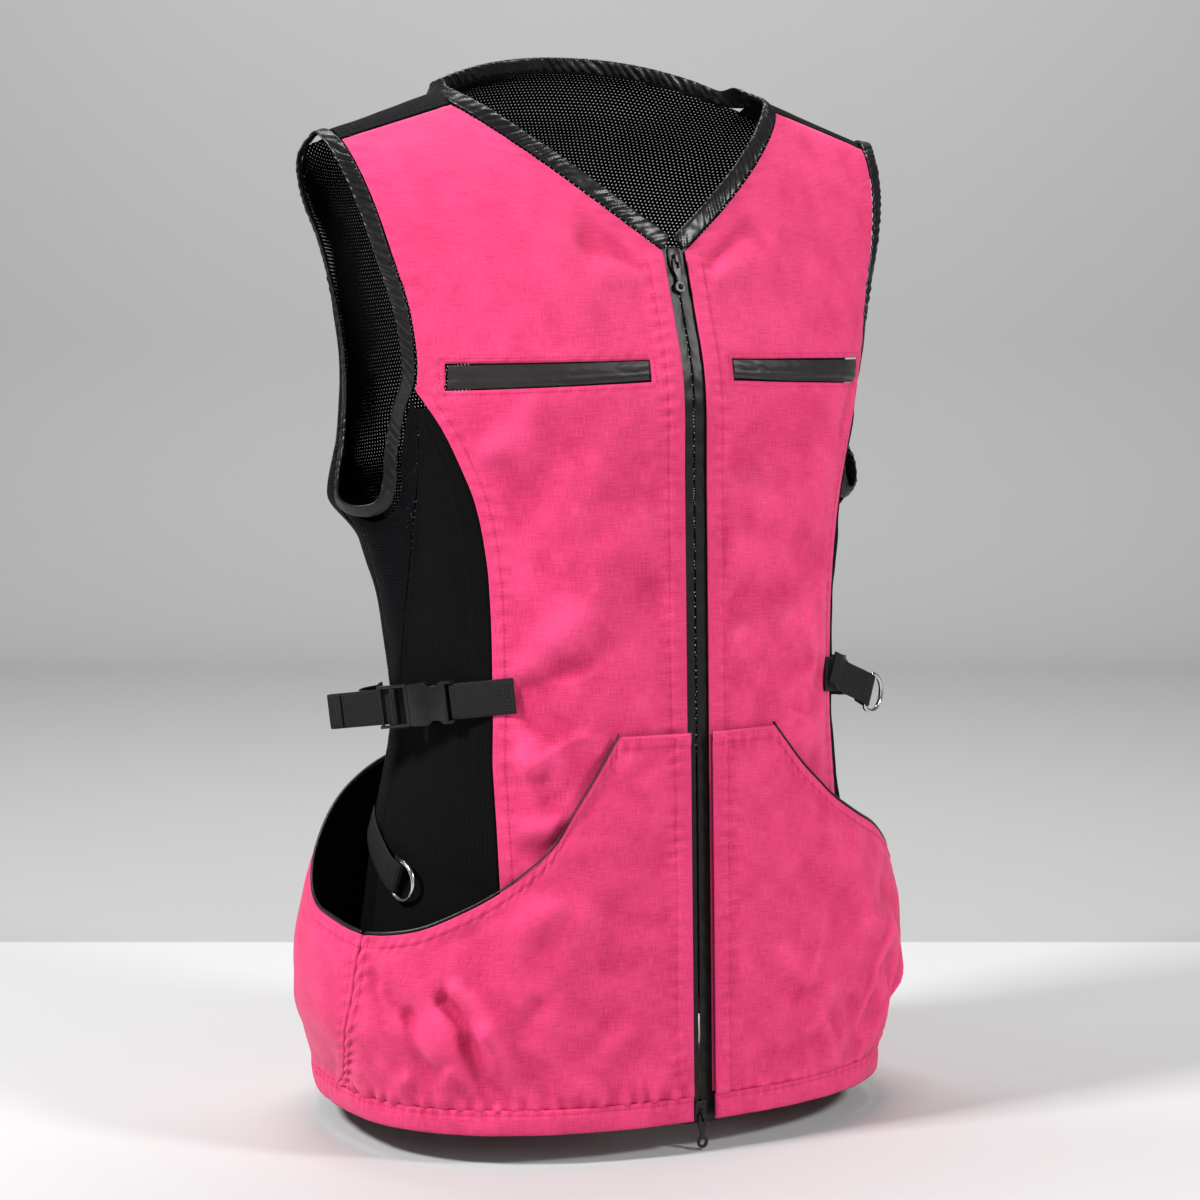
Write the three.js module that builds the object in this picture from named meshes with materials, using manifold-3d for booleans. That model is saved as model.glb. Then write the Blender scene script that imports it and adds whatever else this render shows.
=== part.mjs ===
// Sleeveless field vest, front-zipped, with a padded-out wrap-around pouch.
// Millimetres. +X is the wearer's left, -Y is the front, +Z is up.
// Heights inside this file are measured from the hem; the origin of the part is
// the centre of the neck opening, level with the neck end of the shoulder seams.
import * as THREE from 'three';
import Module from 'manifold-3d';

const wasm = await Module();
wasm.setup();
const { Manifold, CrossSection } = wasm;

// ---------------------------------------------------------------- sizes
const NECK_HEIGHT = 713;      // hem to the neck end of the shoulder seam
const CLOTH = 1.6;            // panel thickness, seams and lining included
const GAP = 0.9;              // between neighbouring sewn pieces
const HEM_BAND = 18;          // height of the folded hem
const ZIP_EDGE = 9;           // cloth edge from the centre line
const WEBBING = 25;           // strap width
const WEBBING_T = 1.3;        // strap thickness
const BIND_W = 12;            // satin binding width
const BIND_T = 2.4;           // satin binding thickness
const WIRE = 1.7;             // radius of the D-ring wire

// ---------------------------------------------------------------- curves
function table(rows) {        // smooth monotone curve through [height, value] rows
  const x = rows.map(r => r[0]), y = rows.map(r => r[1]), n = x.length;
  const d = x.slice(1).map((v, i) => (y[i + 1] - y[i]) / (v - x[i]));
  const m = x.map((_, i) => i === 0 ? d[0] : i === n - 1 ? d[n - 2]
    : d[i - 1] * d[i] <= 0 ? 0 : 2 * d[i - 1] * d[i] / (d[i - 1] + d[i]));
  return t => {
    t = Math.min(Math.max(t, x[0]), x[n - 1]);
    let i = 0; while (i < n - 2 && t > x[i + 1]) i++;
    const w = x[i + 1] - x[i], u = (t - x[i]) / w, a = 1 - u;
    return y[i] * (1 + 2 * u) * a * a + m[i] * w * u * a * a
      + y[i + 1] * u * u * (3 - 2 * u) - m[i + 1] * w * u * u * a;
  };
}
const lerp = (a, b, t) => a + (b - a) * t;
const smooth = t => { t = Math.min(Math.max(t, 0), 1); return t * t * (3 - 2 * t); };
const spread = (n, a = 0, b = 1) => Array.from({ length: n + 1 }, (_, i) => a + (b - a) * i / n);
const V = (x, y, z) => new THREE.Vector3(x, y, z);

// The zip line, on the centre plane: straight up the belly, over the chest, straight to the neck.
const ZIP_LOW = [-137, 0], ZIP_WAIST = [-126, 455], ZIP_CHEST = [-118, 545], ZIP_TOP = [-93.5, 615];
const SLOPE_LOW = (ZIP_WAIST[0] - ZIP_LOW[0]) / ZIP_WAIST[1];
const SLOPE_TOP = (ZIP_TOP[0] - ZIP_CHEST[0]) / (ZIP_TOP[1] - ZIP_CHEST[1]);
function zipDepth(h) {
  if (h <= ZIP_WAIST[1]) return ZIP_LOW[0] + SLOPE_LOW * h;
  if (h >= ZIP_CHEST[1]) return ZIP_CHEST[0] + SLOPE_TOP * (h - ZIP_CHEST[1]);
  const w = ZIP_CHEST[1] - ZIP_WAIST[1], u = (h - ZIP_WAIST[1]) / w, a = 1 - u;
  return ZIP_WAIST[0] * (1 + 2 * u) * a * a + SLOPE_LOW * w * u * a * a
    + ZIP_CHEST[0] * u * u * (3 - 2 * u) - SLOPE_TOP * w * u * u * a;
}

// ---------------------------------------------------------------- body shape
const SHOULDER_FALL = 0.34, RIDGE_FRONT = 170, RIDGE_BACK = 150;
const ridge = x => Math.abs(x) < 134 ? 723 + 40 * (1 - Math.pow(x / 134, 2)) : 723 - SHOULDER_FALL * (Math.abs(x) - 134);
const halfFront = table([[0, 207], [30, 200], [60, 195], [120, 188], [200, 176], [285, 166], [345, 167],
  [405, 172], [440, 177], [530, 195], [575, 208], [620, 232], [665, 258], [713, 270]]);
const halfBack = table([[0, 207], [30, 200], [60, 196], [120, 190], [200, 180], [285, 167], [345, 172],
  [405, 188], [440, 215], [480, 206], [530, 202], [575, 206], [620, 218], [665, 236], [713, 238]]);
const backDepth = table([[0, 205], [30, 190], [60, 170], [120, 152], [200, 140], [285, 118], [345, 136],
  [405, 151], [440, 150], [530, 149], [575, 150], [620, 147], [665, 135], [713, 117]]);
const centre = table([[0, 0], [530, 0], [575, 4], [620, 8], [665, 10], [745, 10]]);
const fall = (x, h, reach) => {
  const w = Math.min(Math.max((ridge(x) - h) / reach, 0), 1);
  return Math.sqrt(1 - (1 - w) * (1 - w));
};
const chestDepth = table([[615, (centre(615) - ZIP_TOP[0]) / fall(0, 615, RIDGE_FRONT)], [665, 92], [713, 78], [745, 70]]);
const frontDepth = h => h <= 615 ? (centre(h) - zipDepth(h)) / fall(0, h, RIDGE_FRONT) : chestDepth(h);

function front(x, h) {        // a point of the front by its place across and its height
  const s = Math.pow(Math.max(1 - Math.pow(Math.min(Math.abs(x) / halfFront(h), 1), 2.4), 0), 1 / 2.4);
  return V(x, centre(h) - frontDepth(h) * s * fall(x, h, RIDGE_FRONT), h);
}
function ring(phi, h) {       // a point around the body; phi from the front centre, + to the left
  const p = phi * Math.PI / 180, c = Math.cos(p), s = Math.sin(p);
  const t = smooth((Math.abs(phi) - 75) / 17), n = lerp(2.4, 2.0, t);
  const x = lerp(halfFront(h), halfBack(h), t) * Math.sign(s) * Math.pow(Math.abs(s), 2 / n);
  const y = (c > 0 ? -frontDepth(h) * fall(x, h, RIDGE_FRONT) : backDepth(h) * fall(x, h, RIDGE_BACK))
    * Math.pow(Math.abs(c), 2 / n);
  return V(x, centre(h) + y, h);
}
const phiAt = (x, h) => Math.asin(Math.pow(Math.min(Math.abs(x) / halfFront(h), 1), 1.2)) * 180 / Math.PI;

// The pouch stands off the body like a shelf.
const pouchHalf = table([[0, 211], [18, 213], [42, 222], [76, 233], [111, 234], [153, 225], [200, 206], [240, 187], [276, 174]]);
const pouchBack = table([[0, 211], [18, 209], [42, 200], [76, 190], [111, 185], [153, 181], [200, 174], [240, 166], [276, 160]]);
const pouchLift = table([[0, 4.5], [276, 4.5]]);
function pouch(phi, h) {
  const p = phi * Math.PI / 180, c = Math.cos(p), s = Math.sin(p), e = 2 / 2.3;
  const deep = c > 0 ? -zipDepth(h) + pouchLift(h) : pouchBack(h);
  return V(pouchHalf(h) * Math.sign(s) * Math.pow(Math.abs(s), e),
    (c > 0 ? -deep : deep) * Math.pow(Math.abs(c), e), h);
}
const pouchPhi = (x, h) => Math.asin(Math.pow(x / pouchHalf(h), 1.15)) * 180 / Math.PI;

// ---------------------------------------------------------------- solids from points
const shade = {
  pink: 0xe8367a, mesh: 0x1c1c1f, knit: 0x141416, satin: 0x2a2a2d, webbing: 0x18181a,
  plastic: 0x202022, steel: 0xc9c9c6, lining: 0x232326, nylon: 0x101012,
};
const vest = new THREE.Group();
vest.name = 'field_vest';
function add(name, geometry, colour) {
  const mesh = new THREE.Mesh(geometry, new THREE.MeshStandardMaterial({ color: shade[colour], roughness: 0.7 }));
  mesh.name = name;
  vest.add(mesh);
}
function solid(points, faces) {     // closed triangle body; turned inside out if its volume is negative
  let volume = 0;
  for (const [a, b, c] of faces) volume += points[a].dot(points[b].clone().cross(points[c]));
  const g = new THREE.BufferGeometry();
  g.setAttribute('position', new THREE.Float32BufferAttribute(points.flatMap(p => [p.x, p.y, p.z - NECK_HEIGHT]), 3));
  g.setIndex(volume < 0 ? faces.flatMap(([a, b, c]) => [a, c, b]) : faces.flat());
  g.computeVertexNormals();
  return g;
}
// A panel: a grid of outer points, the same grid pushed inwards, and walls around every edge.
function shell(us, vs, at, thick = CLOTH, here = () => true) {
  const nu = us.length, nv = vs.length, P = us.map(u => vs.map(v => at(u, v)));
  const points = [], id = (i, j, k) => (i * nv + j) * 2 + k;
  for (let i = 0; i < nu; i++) for (let j = 0; j < nv; j++) {
    const du = P[Math.min(i + 1, nu - 1)][j].clone().sub(P[Math.max(i - 1, 0)][j]);
    const dv = P[i][Math.min(j + 1, nv - 1)].clone().sub(P[i][Math.max(j - 1, 0)]);
    const n = du.cross(dv).normalize(), p = P[i][j];
    if (n.dot(p.clone().sub(V(p.x * 0.4, 0, Math.min(p.z, 600)))) < 0) n.negate();
    points.push(p, p.clone().addScaledVector(n, -thick));
  }
  const faces = [], quad = (a, b, c, d) => faces.push([a, b, c], [a, c, d]);
  const on = (i, j) => i >= 0 && j >= 0 && i < nu - 1 && j < nv - 1 && here(i, j);
  for (let i = 0; i < nu - 1; i++) for (let j = 0; j < nv - 1; j++) {
    if (!on(i, j)) continue;
    const a = [i, j], b = [i + 1, j], c = [i + 1, j + 1], d = [i, j + 1];
    quad(id(...a, 0), id(...b, 0), id(...c, 0), id(...d, 0));
    quad(id(...d, 1), id(...c, 1), id(...b, 1), id(...a, 1));
    const wall = (p, q) => quad(id(...q, 0), id(...p, 0), id(...p, 1), id(...q, 1));
    if (!on(i, j - 1)) wall(a, b);
    if (!on(i + 1, j)) wall(b, c);
    if (!on(i, j + 1)) wall(c, d);
    if (!on(i - 1, j)) wall(d, a);
  }
  const used = new Map(), kept = [];
  const keep = k => { if (!used.has(k)) { used.set(k, kept.length); kept.push(points[k]); } return used.get(k); };
  return solid(kept, faces.map(f => f.map(keep))).clone();
}
// A flat strip between two lines of points, thick along the given directions.
function ribbon(edge, base, across, thick, closed = false) {
  const points = [], faces = [], n = edge.length;
  for (let i = 0; i < n; i++) for (const [p, s] of [[edge[i], 1], [base[i], 1], [base[i], -1], [edge[i], -1]])
    points.push(p.clone().addScaledVector(across[i], s * thick / 2));
  for (let i = 0; i < (closed ? n : n - 1); i++) for (let k = 0; k < 4; k++) {
    const a = i * 4 + k, b = i * 4 + (k + 1) % 4, c = ((i + 1) % n) * 4 + (k + 1) % 4, d = ((i + 1) % n) * 4 + k;
    faces.push([a, b, c], [a, c, d]);
  }
  if (!closed) { faces.push([0, 2, 1], [0, 3, 2]); const e = (n - 1) * 4; faces.push([e, e + 1, e + 2], [e, e + 2, e + 3]); }
  return solid(points, faces);
}
function fromManifold(m) {
  const { vertProperties: v, triVerts: t, numProp } = m.getMesh(), points = [], faces = [];
  for (let i = 0; i < v.length; i += numProp) points.push(V(v[i], v[i + 1], v[i + 2]));
  for (let i = 0; i < t.length; i += 3) faces.push([t[i], t[i + 1], t[i + 2]]);
  return solid(points, faces);
}
const place = (m, o, x, y, z) => m.transform([x.x, x.y, x.z, 0, y.x, y.y, y.z, 0, z.x, z.y, z.z, 0, o.x, o.y, o.z, 1]);
const block = (x0, x1, y0, y1, z0, z1) => Manifold.cube([x1 - x0, y1 - y0, z1 - z0]).translate([x0, y0, z0]);
const shape = points => new CrossSection([points], 'NonZero');
const plate = ([points], z0, z1) => Manifold.extrude(shape(points).toPolygons(), z1 - z0).translate([0, 0, z0]);
const rod = (r, length, sides = 12) => Manifold.cylinder(length, r, r, sides, true);
const mirrorX = p => V(-p.x, p.y, p.z);
const sides = [['right', -1], ['left', 1]];
// smooth line through points in any two measures, e.g. (phi, height)
function line(points, n) {
  const c = new THREE.CatmullRomCurve3(points.map(([a, b]) => V(a, b, 0)), false, 'centripetal');
  return c.getPoints(n).map(p => [p.x, p.y]);
}
const outward = (fn, a, h) => {
  const du = fn(a + 0.5, h).sub(fn(a - 0.5, h)), dv = fn(a, h + 0.5).sub(fn(a, h - 0.5)), n = du.cross(dv).normalize();
  return n.dot(fn(a, h).sub(V(0, 0, Math.min(h, 600)))) < 0 ? n.negate() : n;
};

// ---------------------------------------------------------------- seam lines (right side; left is mirrored)
const H0 = HEM_BAND + GAP;
const sideEdge = table([[0, 139], [251, 139], [287, 138], [343, 138.5], [384, 140.5], [413, 144], [438, 149],
  [465, 158], [490, 168], [508, 177], [518, 181.5], [535, 182.5], [572, 187], [611, 197], [662, 209], [688, 215]]);
const ARM_CORNER = 518;       // the sharp lower corner of the front armhole
const foldPhi = table([[0, 93], [200, 92.6], [290, 91], [338, 86.8], [381, 82], [439, 76.2], [492, 70.6], [512, 70.2]]);
const seamPhi = table([[0, 104], [300, 104], [360, 101], [410, 96.5], [437, 92.5], [470, 97], [520, 101],
  [575, 104], [625, 103.5], [665, 102], [690, 104]]);
const WING = 437;             // the lower back corner of the armhole
const armLow = line([[72.4, 512], [77.0, 492], [79.4, 470], [80.2, 448], [82.4, 431], [86.5, 424.5], [92.6, 434]], 12);

// ---------------------------------------------------------------- front panels with their chest windows
const windowV = [[522, 515], [537, 534]], windowX = [33, 168];
for (const [side, m] of sides) {
  const rows = [];            // [inner x, inner h, outer h]
  for (const h of spread(11, H0, 440)) rows.push([ZIP_EDGE, h, h]);
  for (const h of [470, 497]) rows.push([ZIP_EDGE, h, h]);
  rows.push([ZIP_EDGE, windowV[0][0], windowV[0][1]], [ZIP_EDGE, windowV[1][0], windowV[1][1]]);
  const first = rows.length - 2;
  for (const [h, o] of [[557, 556], [577, 577], [594, 594], [611, 607]]) rows.push([ZIP_EDGE, h, o]);
  for (const t of spread(7, 0, 1).slice(1)) rows.push([lerp(ZIP_EDGE, 134, t), 611 + 102 * (0.9 * t + 0.1 * t * t) - 0, lerp(607, 688, t)]);
  const base = [0, 0.06, null, 0.3, 0.44, 0.58, 0.7, 0.81, null, 0.965, 1];
  const a = rows[first], across = x => (x - ZIP_EDGE) / (sideEdge(a[2]) - ZIP_EDGE);
  base[2] = across(windowX[0]); base[8] = across(windowX[1]);
  const at = (u, k) => {
    const [ix, ih, oh] = rows[k], ox = sideEdge(oh) - (oh > ARM_CORNER ? GAP : 0);
    const h = lerp(ih, oh, u), p = front(lerp(ix, ox, u), h);
    return V(m * p.x, p.y, p.z);
  };
  add(`front_panel_${side}`, shell(base, rows.map((_, k) => k), at, CLOTH,
    (i, j) => !(j === first && i >= 2 && i < 8)), 'pink');

  // welt: a folded strip filling the window but for the slit along its top
  const inset = 0.7, welt = spread(8);
  const xs = t => lerp(windowX[0] + inset, windowX[1] - inset, t);
  const low = t => lerp(522.2, 515.6, t) + inset, high = t => lerp(536.6, 533.6, t) - 2.2;
  add(`chest_welt_${side}`, shell(welt, spread(2), (u, v) => {
    const p = front(xs(u), lerp(low(u), high(u), v)); return V(m * p.x, p.y - 0.3 + 0.0 * v, p.z);
  }, 1.3), 'lining');
  // pocket bag: lies flat behind the panel, empty
  add(`chest_pocket_${side}`, shell(spread(6), spread(6), (u, v) => {
    const x = lerp(windowX[0] - 5, windowX[1] - 12, u), h = lerp(404, 541, v), n = outward(front, x, h);
    const p = front(x, h).addScaledVector(n, -(CLOTH + 1.0)); return V(m * p.x, p.y, p.z);
  }, 1.0), 'lining');
}

// ---------------------------------------------------------------- knit and mesh side panels, mesh back
const edgePhi = h => phiAt(sideEdge(h), h);
const GAP_DEG = 0.38;         // the same gap, in degrees around the body
for (const [side, m] of sides) {
  add(`knit_side_${side}`, shell(spread(4), spread(15), (u, v) => {
    const h = lerp(H0, 503, v), p = ring(lerp(edgePhi(h) + GAP_DEG, foldPhi(h) - 0.1, u), h);
    return V(m * p.x, p.y, p.z);
  }), 'knit');
  // mesh under the arm, from the knit's seam to the side seam; above the waist its rows turn up to meet the foot of the armhole
  const rows = spread(11, H0, 380).map(h => [h, seamPhi(h) - GAP_DEG, h]);
  rows.push([388, seamPhi(408) - GAP_DEG, 408], [394, 92.6 - GAP_DEG, 431.6]);
  armLow.slice(0, 12).reverse().forEach(([phi, h], i) => rows.push([[399, 405, 411, 418, 430, 443, 455, 467, 479, 490, 500, 507][i], phi - 0.75, h - 2.4]));
  add(`mesh_side_${side}`, shell(spread(6), rows.map((_, k) => k), (u, k) => {
    const [hl, phr, hr] = rows[k], p = ring(lerp(foldPhi(hl) + 0.5, phr, u), lerp(hl, hr, u));
    return V(m * p.x, p.y, p.z);
  }), 'mesh');
}
const yokeBack = x => ridge(x) - 8.5;
const neckBack = x => 742 - (742 - yokeBack(134)) * Math.pow(Math.min(Math.abs(x) / 134, 1), 2.2);
add('back_panel', shell(spread(30, -1, 1), [0, 0.09, 0.18, 0.27, 0.36, 0.45, 0.54, 0.6286, 0.69, 0.75, 0.81, 0.87, 0.92, 0.96, 0.985, 1], (s, v) => {
  let top = 690;
  const edge = h => seamPhi(h) + (h < WING ? GAP_DEG : GAP_DEG * 2.2);
  const phi = h => 180 + s * (180 - edge(Math.min(h, 684)));
  for (let k = 0; k < 12; k++) { const x = Math.abs(ring(phi(top), top).x); top = Math.min(x > 134 ? yokeBack(x) : neckBack(x), 742) - GAP; }
  const h = lerp(H0, top, v), a = phi(h), p = ring(a > 180 ? a - 360 : a, h);
  return p;
}), 'mesh');

// shoulder yokes: a strip over each shoulder, from the front seam to the back panel
for (const [side, m] of sides) {
  const seam = x => -fall(x, lerp(713, 688, (x - 134) / 81), RIDGE_FRONT) + 0.024;
  add(`shoulder_yoke_${side}`, shell(spread(6, 136.5, 214), spread(6), (x, v) => {
    const g = lerp(seam(x), 0.32, v), h = ridge(x) - (g < 0 ? RIDGE_FRONT : RIDGE_BACK) * (1 - Math.sqrt(1 - g * g));
    const s = g < 0 ? Math.pow(1 - Math.pow(x / halfFront(h), 2.4), 1 / 2.4) * frontDepth(h) : Math.sqrt(Math.max(1 - Math.pow(x / halfBack(h), 2), 0.02)) * backDepth(h);
    return V(m * x, centre(h) + s * g, h);
  }), 'knit');
}

// ---------------------------------------------------------------- bindings
// The neck: up one side of the V, around the back, down the other.
{
  const edge = [], base = [], across = [];
  const put = (e, b, n) => { edge.push(e); base.push(b); across.push(n.normalize()); };
  const half = [];
  for (const t of spread(10)) {
    const x = lerp(ZIP_EDGE - 0.4, 133, t), h = 611 + GAP * 1.5 + 102 * (0.9 * t + 0.1 * t * t);
    const b = front(x, h), n = outward(front, x, h), tilt = V(-0.62, 0.05 + 0.25 * t, 0.78).normalize();
    const side = tilt.sub(n.clone().multiplyScalar(tilt.dot(n))).normalize();
    const e = b.clone().addScaledVector(side, BIND_W);
    if (e.x < 1.4) e.x = 1.4;
    half.push([e, b, n]);
  }
  half.push([V(125.5, 8, 727), V(134.2, 12, 722), V(0.45, -0.1, 0.9)]);
  half.push([V(121, 24, 733), V(132.5, 27, 718.5), V(0.75, 0.25, 0.5)]);
  for (const x of [121, 103, 82, 60, 38, 18]) {
    const h = neckBack(x), p = ring(180 - Math.asin(Math.min(x / halfBack(h), 1)) * 180 / Math.PI, h);
    const n = outward(ring, 180 - Math.asin(x / halfBack(h)) * 180 / Math.PI, h);
    const e = p.clone().add(V(0, -1.5, 0)).addScaledVector(V(-0.12 * x / 121, -0.12, 1).normalize(), BIND_W);
    half.push([e, p.clone().add(V(0, 0, 0.5)), n.add(V(0, 0.9, 0))]);
  }
  // the turn over the shoulder seam is sharp, so it gets stations between those above
  const turn = half.splice(10, 4).map(([e, b, n]) => [e, b, n.normalize()]), fine = [];
  turn.forEach(([e, b, n], i) => {
    fine.push([e, b, n]);
    if (i < 3) for (const f of [0.25, 0.5, 0.75]) fine.push([e, b, n].map((v, k) => v.clone().lerp(turn[i + 1][k], f)));
  });
  half.splice(10, 0, ...fine);
  const mid = ring(180, neckBack(0));
  for (const [e, b, n] of half) put(mirrorX(e), mirrorX(b), mirrorX(n));
  put(mid.clone().add(V(0, -2.5, BIND_W)), mid.clone().add(V(0, 0, 0.5)), V(0, 1, 0.1));
  for (const [e, b, n] of half.reverse()) put(e, b, n);
  add('neck_binding', ribbon(edge, base, across, BIND_T), 'satin');
}
// The armholes: a closed loop down the front edge, under the arm, up the back edge and over the shoulder.
for (const [side, m] of sides) {
  const base = [], across = [];
  for (const h of [686, 675, 662, 645, 628, 611, 592, 572, 553, 535, 520]) {
    const x = sideEdge(h) + 0.4; base.push(front(x, h)); across.push(outward(front, x, h));
  }
  for (const [phi, h] of armLow.slice(1)) { base.push(ring(phi, h)); across.push(outward(ring, phi, h)); }
  for (const h of [452, 470, 495, 520, 547, 575, 600, 625, 645, 665, 680]) {
    base.push(ring(seamPhi(h), h)); across.push(outward(ring, seamPhi(h), h));
  }
  base.push(V(221, 17, 692.5), V(219.5, 9, 695), V(218, 1, 693)); across.push(V(0.3, 0.5, 0.9), V(0.3, 0, 1), V(0.3, -0.6, 0.9));
  const n = base.length, inwards = base.map((p, i) => {
    const t = base[(i + 1) % n].clone().sub(base[(i + n - 1) % n]).normalize();
    return across[i].normalize().clone().cross(t).normalize();
  });
  for (let k = 0; k < 3; k++) {
    const was = inwards.map(d => d.clone());
    inwards.forEach((d, i) => d.add(was[(i + 1) % n]).add(was[(i + n - 1) % n]).normalize());
  }
  const flip = p => m < 0 ? mirrorX(p) : p;
  const edge = base.map((p, i) => p.clone().addScaledVector(inwards[i], BIND_W - 1.5));
  add(`armhole_binding_${side}`, ribbon(edge.map(flip), base.map(flip), across.map(flip), BIND_T, true), 'satin');
}

// ---------------------------------------------------------------- pouch, its piping and the hem
const pouchTop = {            // [phi, height] from the zip to the hip seam; the right side hangs lower
  right: line([[18.2, 276], [22, 252], [26, 226], [29, 203], [33, 187], [39, 171], [46, 158], [56.7, 144], [65, 139.5], [73, 137.5]], 14),
  left: line([[18.2, 276], [22, 261], [26, 246], [31, 231], [36, 217], [45, 201], [55, 188], [62, 176], [68, 166], [73, 158]], 14),
};
const pouchTopBack = { right: line([[73, 137.5], [84, 142], [94, 147], [104, 164], [116, 190], [132, 214], [152, 232], [180, 238]], 14),
  left: line([[73, 158], [84, 158], [94, 162], [104, 174], [116, 194], [132, 216], [152, 232], [180, 238]], 14) };
const hipSeam = table([[0, 95], [14, 93], [40, 86], [69, 79], [103, 74.5], [137, 73], [160, 73]]);
const onPouch = (m, phi, h) => { const p = pouch(phi, h); return V(m * p.x, p.y, p.z); };
function topRow(m, points, flatFrom) {       // even points along an upper edge
  return spread(points.length - 1).map((_, i) => points[i]).concat().map(([a, h]) => [a, h]);
}
for (const [side, m] of sides) {
  const slope = pouchTop[side], start = pouchPhi(ZIP_EDGE, 276);
  const top = [[start, 276], [9, 276], ...slope];
  const n = top.length - 1, vs = [0, 0.12, 0.26, 0.42, 0.58, 0.74, 0.88, 1];
  add(`pouch_front_${side}`, shell(spread(n), vs, (u, v) => {
    const i = Math.min(Math.floor(u * n + 1e-6), n - 1), f = u * n - i;
    const tp = lerp(top[i][0], top[i + 1][0], f), th = lerp(top[i][1], top[i + 1][1], f);
    const h = lerp(H0, th, v), share = (tp - start) / (73 - start);
    const phi = lerp(pouchPhi(ZIP_EDGE, h), hipSeam(h) - GAP_DEG * 0.6, share);
    return onPouch(m, phi, h);
  }), 'pink');
  // piping: a covered cord along the slanted mouth
  const lift = 1.5, e = slope.map(([a, h]) => onPouch(m, Math.min(a, 72.4), h + lift + 1.3)), b = slope.map(([a, h]) => onPouch(m, Math.min(a, 72.4), h + lift - 0.9));
  add(`pouch_piping_${side}`, ribbon(e, b, slope.map(([a, h]) => { const q = outward(pouch, a, h); return V(m * q.x, q.y, q.z); }), 2.2), 'satin');
}
{
  const half = pouchTopBack, k = 14, top = [];
  for (let i = 0; i <= k; i++) top.push([half.right[i], -1]);
  for (let i = k - 1; i >= 0; i--) top.push([half.left[i], 1]);
  const n = top.length - 1;
  add('pouch_back', shell(spread(n), [0, 0.14, 0.3, 0.48, 0.66, 0.84, 1], (u, v) => {
    const i = Math.round(u * n), [[tp, th], m] = top[i], h = lerp(H0, th, v);
    const phi = 180 - (180 - tp) / (180 - 73) * (180 - hipSeam(h) - GAP_DEG * 0.6);
    return onPouch(m, phi, h);
  }), 'pink');
  const e = [], b = [], a = [];
  top.forEach(([[p, h], m]) => {
    const q = Math.max(p, 73.6);
    e.push(onPouch(m, q, h + 2.8)); b.push(onPouch(m, q, h + 0.6));
    const w = outward(pouch, q, h); a.push(V(m * w.x, w.y, w.z));
  });
  add('pouch_piping_back', ribbon(e, b, a, 2.2), 'satin');
}
{
  const first = pouchPhi(ZIP_EDGE, 8), phis = [];
  for (const p of spread(13, first, 78)) phis.push(-p);
  for (const p of spread(20, 84, 276)) phis.push(p > 180 ? 360 - p : -p);
  for (const p of spread(13, first, 78).reverse()) phis.push(p);
  add('hem_band', shell(phis.map((_, i) => i), [0, 9, HEM_BAND], (i, h) => pouch(phis[i], h).add(V(0, 0, 0)), 3.0), 'pink');
}

// ---------------------------------------------------------------- zip
const AX = V(1, 0, 0);
const zipAt = h => V(0, zipDepth(h), h);
const zipUp = h => zipAt(h + 0.5).sub(zipAt(h - 0.5)).normalize();
const zipIn = h => { const t = zipUp(h); return V(0, t.z, -t.y); };   // towards the wearer
const TAPE = [2.2, 3.0], COIL = [3.2, 5.0], CENTRE_GAP = 0.75;
const zipRows = [-3, 5, 60, 120, 180, 240, 300, 360, 420, 455, 475, 495, 515, 530, 545, 575, 606, 615];
function zipStrip(m, x0, x1, [near, far], hs) {
  const mid = (near + far) / 2;
  return ribbon(hs.map(h => zipAt(h).addScaledVector(zipIn(h), mid).add(V(m * x0, 0, 0))),
    hs.map(h => zipAt(h).addScaledVector(zipIn(h), mid).add(V(m * x1, 0, 0))), hs.map(zipIn), far - near);
}
const SLIDER_REACH = 9;       // slider centre below the top end of the chain
const topSlider = zipAt(615).addScaledVector(zipUp(600), -SLIDER_REACH), lowSlider = zipAt(5);
for (const [side, m] of sides) {
  add(`zipper_tape_${side}`, zipStrip(m, CENTRE_GAP, 14, TAPE, zipRows), 'nylon');
  add(`zipper_coil_${side}`, zipStrip(m, CENTRE_GAP, 3.4, COIL, [...zipRows.slice(0, -1), 612]), 'nylon');
  add(`top_stop_${side}`, zipStrip(m, CENTRE_GAP, 3.6, [3.2, 5.4], [612.5, 613.8]), 'plastic');
}
// Slider: front plate, back plate, the thin neck between the two rows of teeth, and the arch the pull hangs on.
// Local axes: x across, y inwards, z up the chain.
function slider(neck) {
  const hull = w => [[[-w, -5.5], [-w * 0.72, -7.4], [w * 0.72, -7.4], [w, -5.5], [w, 4.6], [w * 0.8, 7.4], [-w * 0.8, 7.4], [-w, 4.6]]];
  const sheet = (w, y0, y1) => plate(hull(w), 0, y1 - y0).transform([1, 0, 0, 0, 0, 0, 1, 0, 0, -1, 0, 0, 0, y1, 0, 1]);
  const arch = block(-1, 1, -2.9, 0.6, -4.2, 2.6).subtract(block(-2, 2, -1.9, 0.4, -3.2, 1.6));
  const [c0, c1] = neck > 0 ? [3.6, 6.8] : [-6.8, -3.6];
  return sheet(4.9, 0.4, 1.9).add(sheet(4.5, 5.4, 6.6)).add(block(-0.45, 0.45, 1.7, 5.6, c0, c1)).add(arch);
}
const PULL_PIVOT = [-0.75, -2.2];           // inward, along the chain, from the slider's centre
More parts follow.
